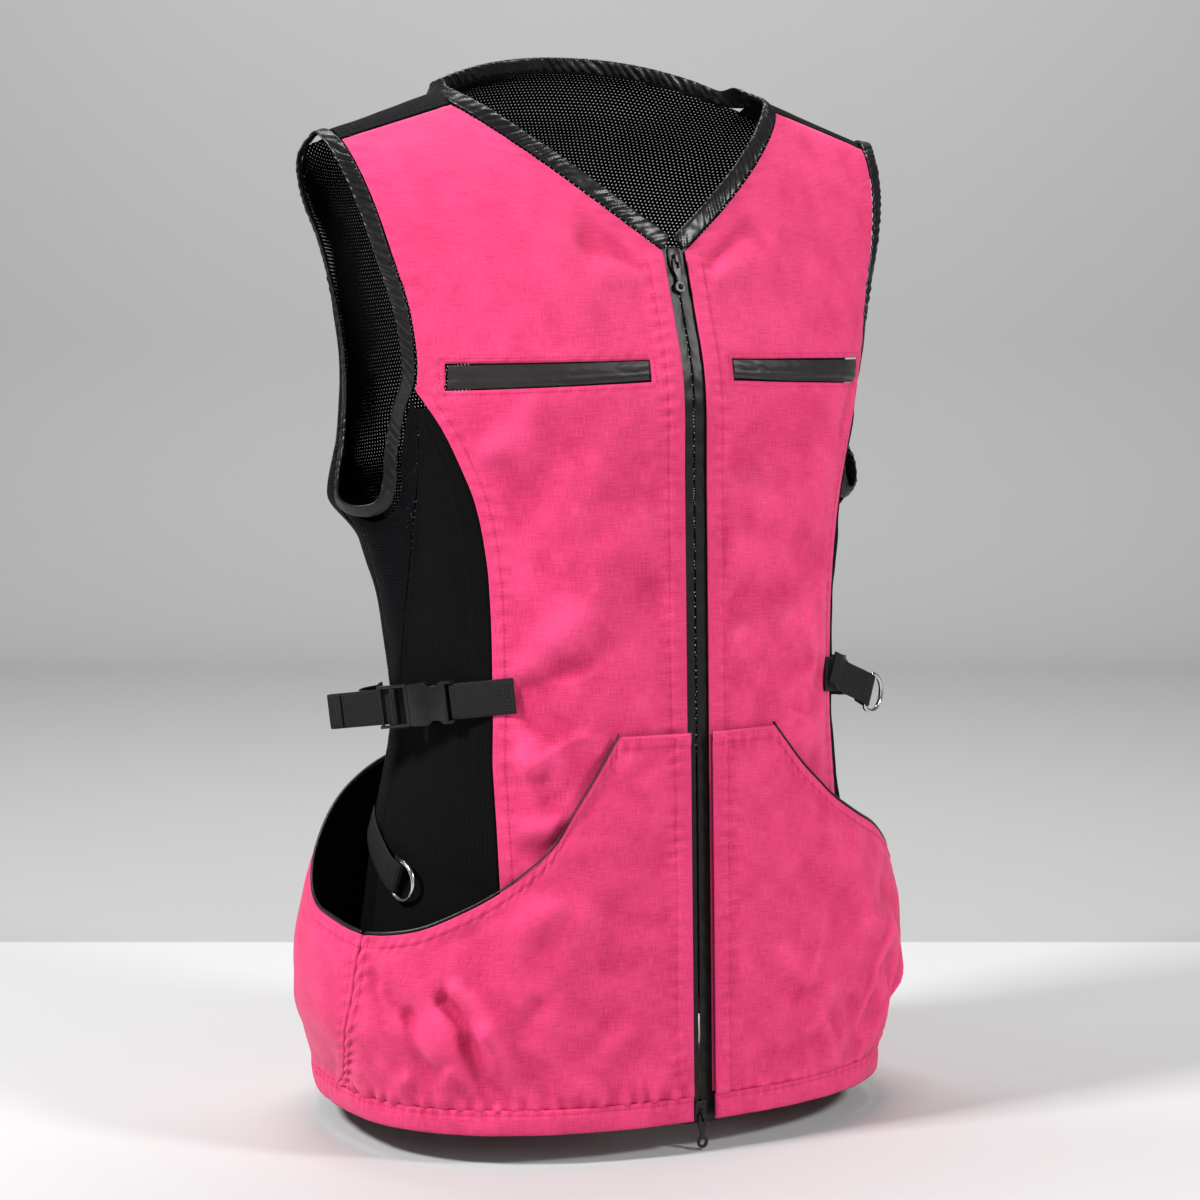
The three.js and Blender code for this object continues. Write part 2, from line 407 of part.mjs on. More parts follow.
function pull() {                           // local axes as the slider's, origin at the pivot
  const outline = shape([[-2.9, 0.75], [2.9, 0.75], [3.3, -5], [3.1, -8.6], [1.7, -12], [1.5, -16], [-1.5, -16], [-1.7, -12], [-3.1, -8.6], [-3.3, -5]])
    .add(CrossSection.circle(4.3, 20).translate([0, -19.5]))
    .subtract(shape([[-1.3, 2], [-1.3, -5.8], [1.3, -5.8], [1.3, 2]]))
    .subtract(CrossSection.circle(2.1, 16).translate([0, -19.5]));
  const tab = Manifold.extrude(outline.toPolygons(), 1.4).transform([1, 0, 0, 0, 0, 0, 1, 0, 0, -1, 0, 0, 0, 0.7, 0, 1]);
  return tab.add(rod(0.6, 5, 8).rotate([0, 90, 0]));
}
for (const [name, at, h, neck] of [['top', topSlider, 600, 1], ['bottom', lowSlider, 5, -1]]) {
  const up = zipUp(h), into = zipIn(h);
  add(`slider_${name}`, fromManifold(place(slider(neck), at, AX, into, up)), 'plastic');
  const pivot = at.clone().addScaledVector(into, PULL_PIVOT[0]).addScaledVector(up, PULL_PIVOT[1]);
  add(`pull_${name}`, fromManifold(place(pull(), pivot, AX, into, up)), 'plastic');
}

// ---------------------------------------------------------------- waist straps and side-release buckles
// Local axes: s along the strap towards the back, w up its width, n away from the body.
const BUCKLE_MID = 3;
function stripPath(points, thick, n = 1) {  // a strip of even thickness along a smooth line
  const c = new THREE.CatmullRomCurve3(points.map(([a, b]) => V(a, b, 0)), false, 'centripetal');
  const pts = c.getPoints(points.length * n), left = [], right = [];
  pts.forEach((p, i) => {
    const t = pts[Math.min(i + 1, pts.length - 1)].clone().sub(pts[Math.max(i - 1, 0)]).normalize();
    left.push([p.x - t.y * thick / 2, p.y + t.x * thick / 2]); right.push([p.x + t.y * thick / 2, p.y - t.x * thick / 2]);
  });
  return shape(left.reverse().concat(right));
}
const arc = (cx, cy, r, from, to, n) => spread(n, from, to).map(a => [cx + r * Math.cos(a * Math.PI / 180), cy + r * Math.sin(a * Math.PI / 180)]);
const across25 = cs => Manifold.extrude(cs.toPolygons(), WEBBING).translate([0, 0, -WEBBING / 2]);   // in (s, n, w)
function socket() {                         // in (s, w, n - BUCKLE_MID)
  let m = plate([[[1, -12.6], [4, -14.8], [34, -14.8], [36.8, -14.2], [36.8, 14.2], [34, 14.8], [4, 14.8], [1, 12.6]]], -4.3, 4.3);
  m = m.subtract(block(-1, 7.2, -12.9, 12.9, -6, 6)).subtract(block(9, 40, -12.9, 12.9, -2.7, 2.7));
  for (const k of [-1, 1]) m = m.subtract(rod(6.6, 12, 20).translate([17, k * 18.2, 0]));
  return m.add(rod(1.3, 26.6, 10).rotate([90, 0, 0]).translate([3.2, 0, 0]));
}
function plug() {
  let m = block(37.3, 40, -14.3, 14.3, -4, 4).add(block(14, 38, -2.2, 2.2, -2.1, 2.1));
  m = m.add(block(39.5, 62.2, -15, -13, -2.1, 2.1)).add(block(39.5, 62.2, 13, 15, -2.1, 2.1));
  for (const s of [50.5, 60.8]) m = m.add(rod(1.3, 28, 10).rotate([90, 0, 0]).translate([s, 0, 0]));
  return m;
}
const ARM_PIVOT = [37, 8.1];
const arm = k => plate([[[36.9, 7.2], [36.9, 9], [24, 9.7], [20.5, 12.3], [13.5, 12.3], [11, 9.6], [12, 8.4], [20, 8.1], [30, 7.5]].map(([s, w]) => [s, k * w])], -2.1, 2.1);
const strapFrames = {};
for (const [side, m] of sides) {
  const o = V(m * 154, -65.5, 300), along = V(m * 0.6, 0.8, -0.13).normalize();
  const up = V(0, 0, 1).addScaledVector(along, -along.z).normalize(), out = m < 0 ? up.clone().cross(along) : along.clone().cross(up);
  const local = p => { const d = p.clone().sub(o); return [d.dot(along), d.dot(out)]; };
  const mid = o.clone().addScaledVector(out, BUCKLE_MID);
  strapFrames[side] = { mid, along, up, out };
  const flat = (cs) => fromManifold(place(across25(cs), o, along, out, up));
  // front strap: sewn down on the panel, round the socket's bar and back under itself
  const sewn = [-12, -9, -6.5].map(d => { const x = 138.5 + d, q = front(x, 305), nn = outward(front, x, 305); return local(V(m * q.x, q.y, q.z).addScaledVector(V(m * nn.x, nn.y, nn.z), 0.35 + WEBBING_T / 2)); });
  const bar = arc(3.2, BUCKLE_MID, 2.3, 90, -90, 8);
  const front1 = stripPath([...sewn, [-21, 0.9], [-14, 2.6], [-6, 4.6], [0, BUCKLE_MID + 2.3], ...bar, [0, 0.9], [-6, 1.2], [-12, 0.6]], WEBBING_T, 2);
  add(`front_strap_${side}`, flat(front1), 'webbing');
  add(`buckle_socket_${side}`, fromManifold(place(socket(), mid, along, up, out)), 'plastic');
  add(`buckle_plug_${side}`, fromManifold(place(plug(), mid, along, up, out)), 'plastic');
  add(`buckle_arm_upper_${side}`, fromManifold(place(arm(1), mid, along, up, out)), 'plastic');
  add(`buckle_arm_lower_${side}`, fromManifold(place(arm(-1), mid, along, up, out)), 'plastic');
  // rear strap: from the side seam, bowed out, under and round the plug's middle bar, its tail running on
  const seat = [118, 112, 106].map(a => { const q = ring(a, 288), nn = outward(ring, a, 288); return local(V(m * q.x, q.y, q.z).addScaledVector(V(m * nn.x, nn.y, nn.z), 8)); });
  const M = BUCKLE_MID, path = [...seat, [92.5, -36], [90, -22], [83, -10], [73, -3.6], [63, M - 4.9], [55, M - 4.6],
    [50.6, M - 4.2], [48.6, M - 2.4], [48.15, M], [48.9, M + 1.7], [50.5, M + 2.35], [52.1, M + 1.7], [52.85, M], [54, M - 1.6], [56.6, M - 2.4], [61, M - 2.6], [70, M - 2.4], [86, M - 1.6], [101, M - 0.2]];
  const tail = stripPath([[93, M - 0.6], [97, M - 0.3], [102.6, M + 0.1]], 2.8, 2);
  add(`rear_strap_${side}`, flat(stripPath(path, WEBBING_T, 2).add(tail)), 'webbing');
}

// ---------------------------------------------------------------- D-rings and their tabs
// Local axes: t from the bar to the bow, w along the bar, n away from the body.
const RING_HALF = 13.6, RING_REACH = 19.5;   // wire centre line: half the bar, bar to bow
function dRing(o, t, w, n) {
  const path = [[0, -RING_HALF + 2.2], [0, 0], [0, RING_HALF - 2.2], [0.7, RING_HALF - 0.6], [2.4, RING_HALF]];
  const c = RING_REACH - RING_HALF;
  for (const a of [78, 62, 46, 30, 15, 5, -5, -15, -30, -46, -62, -78]) path.push([c + RING_HALF * Math.cos(a * Math.PI / 180), RING_HALF * Math.sin(a * Math.PI / 180)]);
  path.push([2.4, -RING_HALF], [0.7, -RING_HALF + 0.6]);
  const points = [], faces = [], N = path.length, K = 8;
  path.forEach(([a, b], i) => {
    const [p, q] = [path[(i + N - 1) % N], path[(i + 1) % N]], L = Math.hypot(q[0] - p[0], q[1] - p[1]);
    const nx = (q[1] - p[1]) / L, ny = -(q[0] - p[0]) / L;
    for (let k = 0; k < K; k++) {
      const f = (k + 0.5) / K * 2 * Math.PI, r = WIRE * Math.cos(f);
      points.push(o.clone().addScaledVector(t, a + nx * r).addScaledVector(w, b + ny * r).addScaledVector(n, WIRE * Math.sin(f)));
    }
  });
  for (let i = 0; i < N; i++) for (let k = 0; k < K; k++) {
    const j = (i + 1) % N, l = (k + 1) % K;
    faces.push([i * K + k, j * K + k, j * K + l], [i * K + k, j * K + l, i * K + l]);
  }
  return solid(points, faces);
}
const ringFrames = {};
function ringSet(name, side, o, t, n, tailPoints) {
  const m = side === 'left' ? 1 : -1, w = n.clone().cross(t).normalize();
  if (w.z < 0) w.negate();
  ringFrames[`${name}_${side}`] = { o, t, w, n };
  const local = p => { const d = p.clone().sub(o); return [d.dot(t), d.dot(n)]; };
  const r = WIRE + 0.35 + WEBBING_T / 2, loop = arc(0, 0, r, -90, 90, 8);
  const outer = tailPoints.map(local), end = outer[outer.length - 1];
  const path = [[-11, -r + 0.1], [-5, -r], ...loop, [-5, r - 0.2], [-12, r - 1.2], ...outer.slice().reverse()];
  const cs = stripPath(path, WEBBING_T, 2);
  const W = WEBBING - 1.5, strip = Manifold.extrude(cs.toPolygons(), W).translate([0, 0, -W / 2]);
  // (t, n, w) is right- or left-handed depending on the side, so build it in that order and place it
  add(`${name}_tab_${side}`, fromManifold(place(strip, o, t, n, w)), 'webbing');
  add(`${name}_${side}`, dRing(o, t, w, n), 'steel');
}
for (const [side, m] of sides) {
  const q = ring(81, 172), n = V(m * 0.985, -0.17, 0).normalize();
  const o = V(m * q.x, q.y, q.z).addScaledVector(n, WIRE + WEBBING_T + 2.6);
  const lean = 23 * Math.PI / 180, fwd = V(m * -0.17, -0.985, 0).normalize();
  const t = fwd.clone().multiplyScalar(Math.cos(lean)).add(V(0, 0, -Math.sin(lean)));
  const seat = [[109, 201], [104, 198], [98, 193], [92, 187]].map(([a, h], i) => { const p = ring(a, h), k = outward(ring, a, h); return V(m * p.x, p.y, p.z).addScaledVector(V(m * k.x, k.y, k.z), [1.2, 1.3, 1.8, 2.6][i]); });
  ringSet('hip_ring', side, o, t, n, seat);
}
{
  const t = V(0.82, 0.40, -0.40).normalize(), n = V(0.44, -0.90, 0).normalize();
  const root = front(131, 309), k = outward(front, 131, 309);
  const start = root.clone().addScaledVector(k, 3.2 + WEBBING_T);
  const o = V(181.5, -71, 287);
  ringSet('waist_ring', 'left', o, t, n, [start, start.clone().addScaledVector(t, 9).add(V(-1.5, -2.2, 0)), V(153, -81.5, 300.5)]);
}

export default vest;
export { strapFrames, ringFrames, topSlider, lowSlider, zipUp, zipIn, PULL_PIVOT, ARM_PIVOT, NECK_HEIGHT, ring, front, pouch };
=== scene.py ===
# %% [markdown]
# # A zipped field vest, sewn in Blender
#
# The vest has two pink fronts with an open-ended zip between them, knit sides, a see-through
# mesh back, a wide pink pouch that wraps around the hips, satin bindings on every raw edge,
# and webbing straps with side-release buckles.
# The imported model says where every piece is; this file makes each piece look like cloth,
# webbing, moulded plastic or wire, without changing the size of anything.
# It begins with the frame.

# %% Load the frame
import math
import bpy
import numpy as np
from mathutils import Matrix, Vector


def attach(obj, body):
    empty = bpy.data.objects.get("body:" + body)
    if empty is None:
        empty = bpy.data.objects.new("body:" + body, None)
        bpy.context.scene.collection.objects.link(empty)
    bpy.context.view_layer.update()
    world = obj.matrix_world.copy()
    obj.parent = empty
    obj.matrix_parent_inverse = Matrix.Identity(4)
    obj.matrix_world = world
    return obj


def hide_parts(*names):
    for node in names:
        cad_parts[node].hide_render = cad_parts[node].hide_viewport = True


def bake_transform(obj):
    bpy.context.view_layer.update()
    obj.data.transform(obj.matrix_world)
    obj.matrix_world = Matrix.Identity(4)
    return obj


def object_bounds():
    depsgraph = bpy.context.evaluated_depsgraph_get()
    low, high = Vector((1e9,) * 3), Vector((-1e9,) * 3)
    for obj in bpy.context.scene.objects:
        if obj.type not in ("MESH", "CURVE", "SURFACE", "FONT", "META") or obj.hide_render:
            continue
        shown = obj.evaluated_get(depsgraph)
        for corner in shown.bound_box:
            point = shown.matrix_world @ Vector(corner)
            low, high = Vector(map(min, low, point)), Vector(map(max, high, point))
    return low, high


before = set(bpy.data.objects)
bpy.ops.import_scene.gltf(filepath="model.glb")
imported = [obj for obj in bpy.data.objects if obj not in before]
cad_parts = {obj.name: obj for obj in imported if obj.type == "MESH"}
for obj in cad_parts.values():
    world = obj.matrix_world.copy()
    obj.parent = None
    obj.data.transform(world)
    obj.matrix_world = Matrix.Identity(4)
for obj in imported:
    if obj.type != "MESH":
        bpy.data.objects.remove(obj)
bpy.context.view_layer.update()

# %% [markdown]
# ## Camera
#
# The vest is seen from its right front, a little above the waist, with a long lens, so that
# upright edges stay nearly upright. An aim point and a place give the turn of the camera.

# %% Camera
LENS_MM, SENSOR_MM = 98.64, 36.0

def add_camera(place, aim):
    data = bpy.data.cameras.new("camera")
    data.lens, data.sensor_width = LENS_MM, SENSOR_MM
    camera = bpy.data.objects.new("camera", data)
    bpy.context.scene.collection.objects.link(camera)
    camera.location = place
    camera.rotation_euler = (Vector(aim) - Vector(place)).to_track_quat("-Z", "Y").to_euler()
    bpy.context.scene.camera = camera
    return camera

camera = add_camera((-1.1635, -2.0991, -0.113), (-0.0052, 0.0029, -0.356))
print("camera looks along", [round(v, 3) for v in (camera.matrix_world.to_quaternion() @ Vector((0, 0, -1)))])

# %% [markdown]
# ## Curves and random hills
#
# A sewing pattern is a set of measures taken at a few heights and drawn through with a smooth
# line. `curve` is that line. `hills` is the other tool needed everywhere: soft random bumps for
# cloth that never lies quite still. Both work on whole arrays at once.

# %% Curves and random hills
NECK = 713.0                 # mm from the hem up to the origin at the neck

def curve(rows):
    """Smooth line through (at, value) rows: cubic pieces, each row's slope the harmonic mean of its neighbours'."""
    x, y = np.array(rows, float).T
    d = np.diff(y) / np.diff(x)
    same_way = d[:-1] * d[1:] > 0
    inner = np.where(same_way, 2 * d[:-1] * d[1:] / np.where(same_way, d[:-1] + d[1:], 1), 0)
    m = np.concatenate([d[:1], inner, d[-1:]])

    def at(t):
        t = np.clip(t, x[0], x[-1])
        i = np.clip(np.searchsorted(x, t, side="left") - 1, 0, len(x) - 2)
        w = x[i + 1] - x[i]
        u = (t - x[i]) / w
        c = 1 - u
        begin = y[i] * (1 + 2 * u) * c * c + m[i] * w * u * c * c
        return begin + y[i + 1] * u * u * (3 - 2 * u) - m[i + 1] * w * u * u * c
    return at

def mix(a, b, t):
    return a + (b - a) * t

def smooth(t):
    """0 to 1 with level ends: t squared times (3 - 2t)."""
    t = np.clip(t, 0, 1)
    return t * t * (3 - 2 * t)

def hills(a, b, size, seed):
    """Random heights from -1 to 1 on a lattice `size` apart, joined by a fifth-power ease so that no crease shows."""
    heights = np.random.default_rng(seed).uniform(-1, 1, (64, 64))
    x, y = np.broadcast_arrays(np.asarray(a, float) / size + 20.3, np.asarray(b, float) / size + 20.7)
    i, j = np.floor(x).astype(int), np.floor(y).astype(int)
    ease = lambda t: t ** 3 * (t * (t * 6 - 15) + 10)
    u, v = ease(x - i), ease(y - j)
    at = lambda p, q: heights[p % 64, q % 64]
    return mix(mix(at(i, j), at(i + 1, j), u), mix(at(i, j + 1), at(i + 1, j + 1), u), v)

def spline(rows, count=None, step=None, closed=False):
    """Centripetal Catmull-Rom line through points of any dimension, returned at even lengths along it."""
    p = np.array(rows, float)
    p = np.vstack([p[-1:], p, p[:2]]) if closed else np.vstack([2 * p[0] - p[1], p, 2 * p[-1] - p[-2]])
    t = np.concatenate([[0], np.cumsum(np.sqrt(np.linalg.norm(np.diff(p, axis=0), axis=1)))])
    s = np.linspace(t[1], t[-2], 60 * len(rows))
    i = np.clip(np.searchsorted(t, s, side="right") - 1, 1, len(p) - 3)
    part = lambda a, b, pa, pb: (pa * (b - s)[:, None] + pb * (s - a)[:, None]) / (b - a)[:, None]
    t0, t1, t2, t3 = t[i - 1], t[i], t[i + 1], t[i + 2]
    a1, a2, a3 = part(t0, t1, p[i - 1], p[i]), part(t1, t2, p[i], p[i + 1]), part(t2, t3, p[i + 1], p[i + 2])
    fine = part(t1, t2, part(t0, t2, a1, a2), part(t1, t3, a2, a3))
    return even(fine, count, step, closed)

def even(line, count=None, step=None, closed=False):
    """The same line with its points at even lengths; a closed line leaves out the repeated last one."""
    along = np.concatenate([[0], np.cumsum(np.linalg.norm(np.diff(line, axis=0), axis=1))])
    count = count or max(2, int(round(along[-1] / step)) + 1)
    at = np.linspace(0, along[-1], count + 1)[:-1] if closed else np.linspace(0, along[-1], count)
    return np.stack([np.interp(at, along, line[:, k]) for k in range(line.shape[1])], axis=1)

# %% [markdown]
# ## The shape of the body inside the vest
#
# The vest hangs on a body that isn't there. Three surfaces describe it: `front`, by the place
# across and the height; `ring`, by the angle around the body; and `pouch`, which stands off the
# hips like a shelf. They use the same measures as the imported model, so every piece lands on it.

# %% Body surfaces, in millimetres, heights from the hem
def point(x, y, h):
    return np.stack(np.broadcast_arrays(x, y, h), axis=-1).astype(float)

def zip_depth(h):
    """The zip's line on the centre plane: straight up the belly, eased over the chest, straight to the neck."""
    low = -137 + 11 / 455 * h
    top = -118 + 24.5 / 70 * (h - 545)
    u = (h - 455) / 90
    c = 1 - u
    mid = -126 * (1 + 2 * u) * c * c + 11 / 455 * 90 * u * c * c - 118 * u * u * (3 - 2 * u) - 0.35 * 90 * u * u * c
    return np.where(h <= 455, low, np.where(h >= 545, top, mid))

def ridge(x):
    """Height of the top of the shoulders across the body."""
    x = np.abs(x)
    return np.where(x < 134, 723 + 40 * (1 - (x / 134) ** 2), 723 - 0.34 * (x - 134))

def fall(x, h, reach):
    """How far the body has rounded over towards the shoulder: a quarter circle of height `reach` under the ridge."""
    w = np.clip((ridge(x) - h) / reach, 0, 1)
    return np.sqrt(1 - (1 - w) ** 2)

REACH_FRONT, REACH_BACK = 170, 150
half_front = curve([[0, 207], [30, 200], [60, 195], [120, 188], [200, 176], [285, 166], [345, 167], [405, 172],
                    [440, 177], [530, 195], [575, 208], [620, 232], [665, 258], [713, 270]])
half_back = curve([[0, 207], [30, 200], [60, 196], [120, 190], [200, 180], [285, 167], [345, 172], [405, 188],
                   [440, 215], [480, 206], [530, 202], [575, 206], [620, 218], [665, 236], [713, 238]])
back_depth = curve([[0, 205], [30, 190], [60, 170], [120, 152], [200, 140], [285, 118], [345, 136], [405, 151],
                    [440, 150], [530, 149], [575, 150], [620, 147], [665, 135], [713, 117]])
centre = curve([[0, 0], [530, 0], [575, 4], [620, 8], [665, 10], [745, 10]])
chest_depth = curve([[615, (centre(615) + 93.5) / fall(0, 615, REACH_FRONT)], [665, 92], [713, 78], [745, 70]])

def front_depth(h):
    return np.where(h <= 615, (centre(h) - zip_depth(h)) / np.maximum(fall(0, h, REACH_FRONT), 0.05), chest_depth(h))

def front(x, h):
    """A rounded box in plan, exponent 2.4, as wide as half_front, rolling over at the shoulders."""
    s = np.maximum(1 - np.minimum(np.abs(x) / half_front(h), 1) ** 2.4, 0) ** (1 / 2.4)
    return point(x, centre(h) - front_depth(h) * s * fall(x, h, REACH_FRONT), h)

def ring(phi, h):
    """The same body by angle, 0 at the front and + to the wearer's left; behind 92 degrees it is a plain oval."""
    p = np.radians(phi)
    c, s = np.cos(p), np.sin(p)
    t = smooth((np.abs(phi) - 75) / 17)
    n = mix(2.4, 2.0, t)
    x = mix(half_front(h), half_back(h), t) * np.sign(s) * np.abs(s) ** (2 / n)
    deep = np.where(c > 0, -front_depth(h) * fall(x, h, REACH_FRONT), back_depth(h) * fall(x, h, REACH_BACK))
    return point(x, centre(h) + deep * np.abs(c) ** (2 / n), h)

pouch_half = curve([[0, 211], [18, 213], [42, 222], [76, 233], [111, 234],
                    [153, 225], [200, 206], [240, 187], [276, 174]])
pouch_deep = curve([[0, 211], [18, 209], [42, 200], [76, 190], [111, 185],
                    [153, 181], [200, 174], [240, 166], [276, 160]])
POUCH_POWER, POUCH_STANDS_OFF = 2.3, 4.5

def pouch(phi, h):
    """The pouch's wall, a squarish oval that stands a few millimetres in front of the fronts at the zip."""
    p = np.radians(phi)
    c, s = np.cos(p), np.sin(p)
    deep = np.where(c > 0, zip_depth(h) - POUCH_STANDS_OFF, pouch_deep(h))
    power = 2 / POUCH_POWER
    return point(pouch_half(h) * np.sign(s) * np.abs(s) ** power, deep * np.abs(c) ** power, h)

def front_angle(x, h):
    return np.degrees(np.arcsin(np.minimum(np.abs(x) / half_front(h), 1) ** 1.2))

def pouch_angle(x, h):
    return np.degrees(np.arcsin((x / pouch_half(h)) ** 1.15))

def outward(shape, a, h):
    """Unit normal from differences half a unit each way, turned away from the middle of the body."""
    n = np.cross(shape(a + 0.5, h) - shape(a - 0.5, h), shape(a, h + 0.5) - shape(a, h - 0.5))
    n /= np.maximum(np.linalg.norm(n, axis=-1, keepdims=True), 1e-9)
    away = shape(a, h) - point(0, 0, np.minimum(h, 600))
    return n * np.where((n * away).sum(-1, keepdims=True) < 0, -1, 1)

print("chest width at 530 mm:", round(float(2 * half_front(530))), "mm;",
      "pouch width:", round(float(2 * pouch_half(100))), "mm")

# %% [markdown]
# ## Seam lines
#
# These are the lines that the pattern is cut along: the edge between the pink front and the
# knit side, the fold where knit meets mesh, the side seam of the back, the armhole, the slanted
# mouths of the pouch and the seam on each hip.

# %% Seam lines
HEM_BAND, SEAM_GAP, ZIP_EDGE = 18.0, 0.9, 9.0
HEM_TOP = HEM_BAND + SEAM_GAP
GAP_DEG = 0.38               # the side seam's gap, as an angle
side_edge = curve([[0, 139], [251, 139], [287, 138], [343, 138.5], [384, 140.5], [413, 144], [438, 149], [465, 158],
                   [490, 168], [508, 177], [518, 181.5], [535, 182.5], [572, 187], [611, 197], [662, 209], [688, 215]])
fold_angle = curve([[0, 93], [200, 92.6], [290, 91], [338, 86.8], [381, 82], [439, 76.2], [492, 70.6], [512, 70.2]])
seam_angle = curve([[0, 104], [300, 104], [360, 101], [410, 96.5], [437, 92.5], [470, 97], [520, 101], [575, 104],
                    [625, 103.5], [665, 102], [690, 104]])
ARM_CORNER, WING = 518.0, 437.0
ARM_LOW = [[72.4, 512], [77.0, 492], [79.4, 470], [80.2, 448], [82.4, 431], [86.5, 424.5], [92.6, 434]]
POUCH_TOP = {
    "right": [[18.2, 276], [22, 252], [26, 226], [29, 203], [33, 187],
              [39, 171], [46, 158], [56.7, 144], [65, 139.5], [73, 137.5]],
    "left": [[18.2, 276], [22, 261], [26, 246], [31, 231], [36, 217],
             [45, 201], [55, 188], [62, 176], [68, 166], [73, 158]]}
POUCH_TOP_BACK = {
    "right": [[73, 137.5], [84, 142], [94, 147], [104, 164], [116, 190], [132, 214], [152, 232], [180, 238]],
    "left": [[73, 158], [84, 158], [94, 162], [104, 174], [116, 194], [132, 216], [152, 232], [180, 238]]}
HIP = 73                     # the hip seam's angle at the pouch's mouth
hip_seam = curve([[0, 95], [14, 93], [40, 86], [69, 79], [103, 74.5], [137, HIP], [160, HIP]])
SIDES = (("right", -1), ("left", 1))
NECK_FOOT, NECK_RISE, NECK_HALF = 611, 102, 134

def neck_height(t):
    return NECK_FOOT + NECK_RISE * (0.9 * t + 0.1 * t * t)

def neckline(t):
    """Front neckline by t from the zip (0) to the shoulder (1): across, and height."""
    return mix(ZIP_EDGE, NECK_HALF, t), neck_height(t)

def back_mouth(count):
    """The pouch's mouth around the back, from right hip to left hip: angle, height, and the side it is on."""
    right, left = (spline(POUCH_TOP_BACK[side], count) for side in ("right", "left"))
    both = np.concatenate([right, left[::-1][1:]])
    return both[:, 0], both[:, 1], np.concatenate([-np.ones(count), np.ones(count - 1)])

def to_side(p, m):
    """The left side as it is, or mirrored to the right where m is -1."""
    return p * np.array([m, 1.0, 1.0])

# %% [markdown]
# ## Cloth on a grid
#
# Every sheet of cloth here is a grid of points. `Cloth` keeps the grid, its outward normals and,
# for each point, how far it lies along the cloth from each of the four edges. Folds, seam
# puckers and stitches are all placed by those distances, the way a tape measure would.

# %% A grid of cloth
class Cloth:
    """A grid of points (columns, rows) on a surface, its normals, and the distance to its four edges."""
    def __init__(self, p):
        self.p = p
        n = np.cross(np.gradient(p, axis=0), np.gradient(p, axis=1))
        n /= np.maximum(np.linalg.norm(n, axis=2, keepdims=True), 1e-9)
        away = p - np.stack([p[..., 0] * 0.4, np.zeros(p.shape[:2]), np.minimum(p[..., 2], 600)], -1)
        self.n = n * (-1 if (n * away).sum(-1).mean() < 0 else 1)
        self.u = np.pad(np.cumsum(np.linalg.norm(np.diff(p, axis=0), axis=2), axis=0), ((1, 0), (0, 0)))
        self.v = np.pad(np.cumsum(np.linalg.norm(np.diff(p, axis=1), axis=2), axis=1), ((0, 0), (1, 0)))
        self.edge = {"start": self.u, "end": self.u[-1] - self.u, "low": self.v, "top": self.v[:, -1:] - self.v}

    def raised(self, lift):
        """The points moved along their normals by lift, in mm."""
        return self.p + self.n * np.broadcast_to(lift, self.p.shape[:2])[..., None]

    def line(self, edge, inset, keep=None):
        """Fractional (column, row) places of a line that runs `inset` mm inside one edge."""
        d = self.edge[edge]
        if edge in ("low", "top"):
            d = d.T
        if edge in ("end", "top"):
            d = d[::-1]
        i = np.clip((d <= inset).sum(0) - 1, 0, len(d) - 2)
        k = np.arange(d.shape[1])
        f = i + np.clip((inset - d[i, k]) / np.maximum(d[i + 1, k] - d[i, k], 1e-6), 0, 1)
        if edge in ("end", "top"):
            f = len(d) - 1 - f
        line = np.stack([k, f] if edge in ("low", "top") else [f, k], 1).astype(float)
        return line if keep is None else line[keep]

def on_grid(values, line):
    """A grid's values at fractional (column, row) places, by straight mixing of the four around each."""
    i = np.clip(np.floor(line[:, 0]).astype(int), 0, values.shape[0] - 2)
    j = np.clip(np.floor(line[:, 1]).astype(int), 0, values.shape[1] - 2)
    u, v = (line[:, 0] - i)[:, None], (line[:, 1] - j)[:, None]
    return mix(mix(values[i, j], values[i + 1, j], u), mix(values[i, j + 1], values[i + 1, j + 1], u), v)

def make_mesh(name, points, faces, uv=None):
    """A mesh from points in mm (heights from the hem) and faces of one size, with a UV map in metres of cloth."""
    mesh = bpy.data.meshes.new(name)
    mesh.vertices.add(len(points))
    mesh.vertices.foreach_set("co", ((points - [0, 0, NECK]) * 0.001).astype(np.float32).ravel())
    mesh.loops.add(faces.size)
    mesh.loops.foreach_set("vertex_index", faces.astype(np.int32).ravel())
    mesh.polygons.add(len(faces))
    mesh.polygons.foreach_set("loop_start", np.arange(0, faces.size, faces.shape[1], dtype=np.int32))
    mesh.polygons.foreach_set("use_smooth", np.ones(len(faces), bool))
    mesh.update(calc_edges=True)
    if uv is not None:
        mesh.uv_layers.new(name="cloth").uv.foreach_set("vector", (uv[faces] * 0.001).astype(np.float32).ravel())
    obj = bpy.data.objects.new(name, mesh)
    bpy.context.scene.collection.objects.link(obj)
    return obj

def grid_faces(nu, nv, close_u=False, close_v=False):
    """Quads of a grid of nu columns and nv rows, joined round where a side is closed."""
    columns, rows = np.arange(nu if close_u else nu - 1), np.arange(nv if close_v else nv - 1)
    i, j = np.meshgrid(columns, rows, indexing="ij")
    i2, j2 = (i + 1) % nu, (j + 1) % nv
    return np.stack([i * nv + j, i2 * nv + j, i2 * nv + j2, i * nv + j2], -1)

CLOTHS = {}                  # every sheet's grid by name, for its flat size at the end
PAINTED_SHADE_MM = 1.4              # painted shade: a valley this deep is painted three quarters of the way to the darkest

def hollows(lift, size):
    """How far each point lies below the average of its surroundings, in mm: positive in valleys, negative on crowns."""
    wide = lift
    for _ in range(size):
        wide = np.pad(wide, 1, mode="edge")
        wide = (wide[:-2, 1:-1] + wide[2:, 1:-1] + wide[1:-1, :-2] + wide[1:-1, 2:]) / 4
    return wide - lift

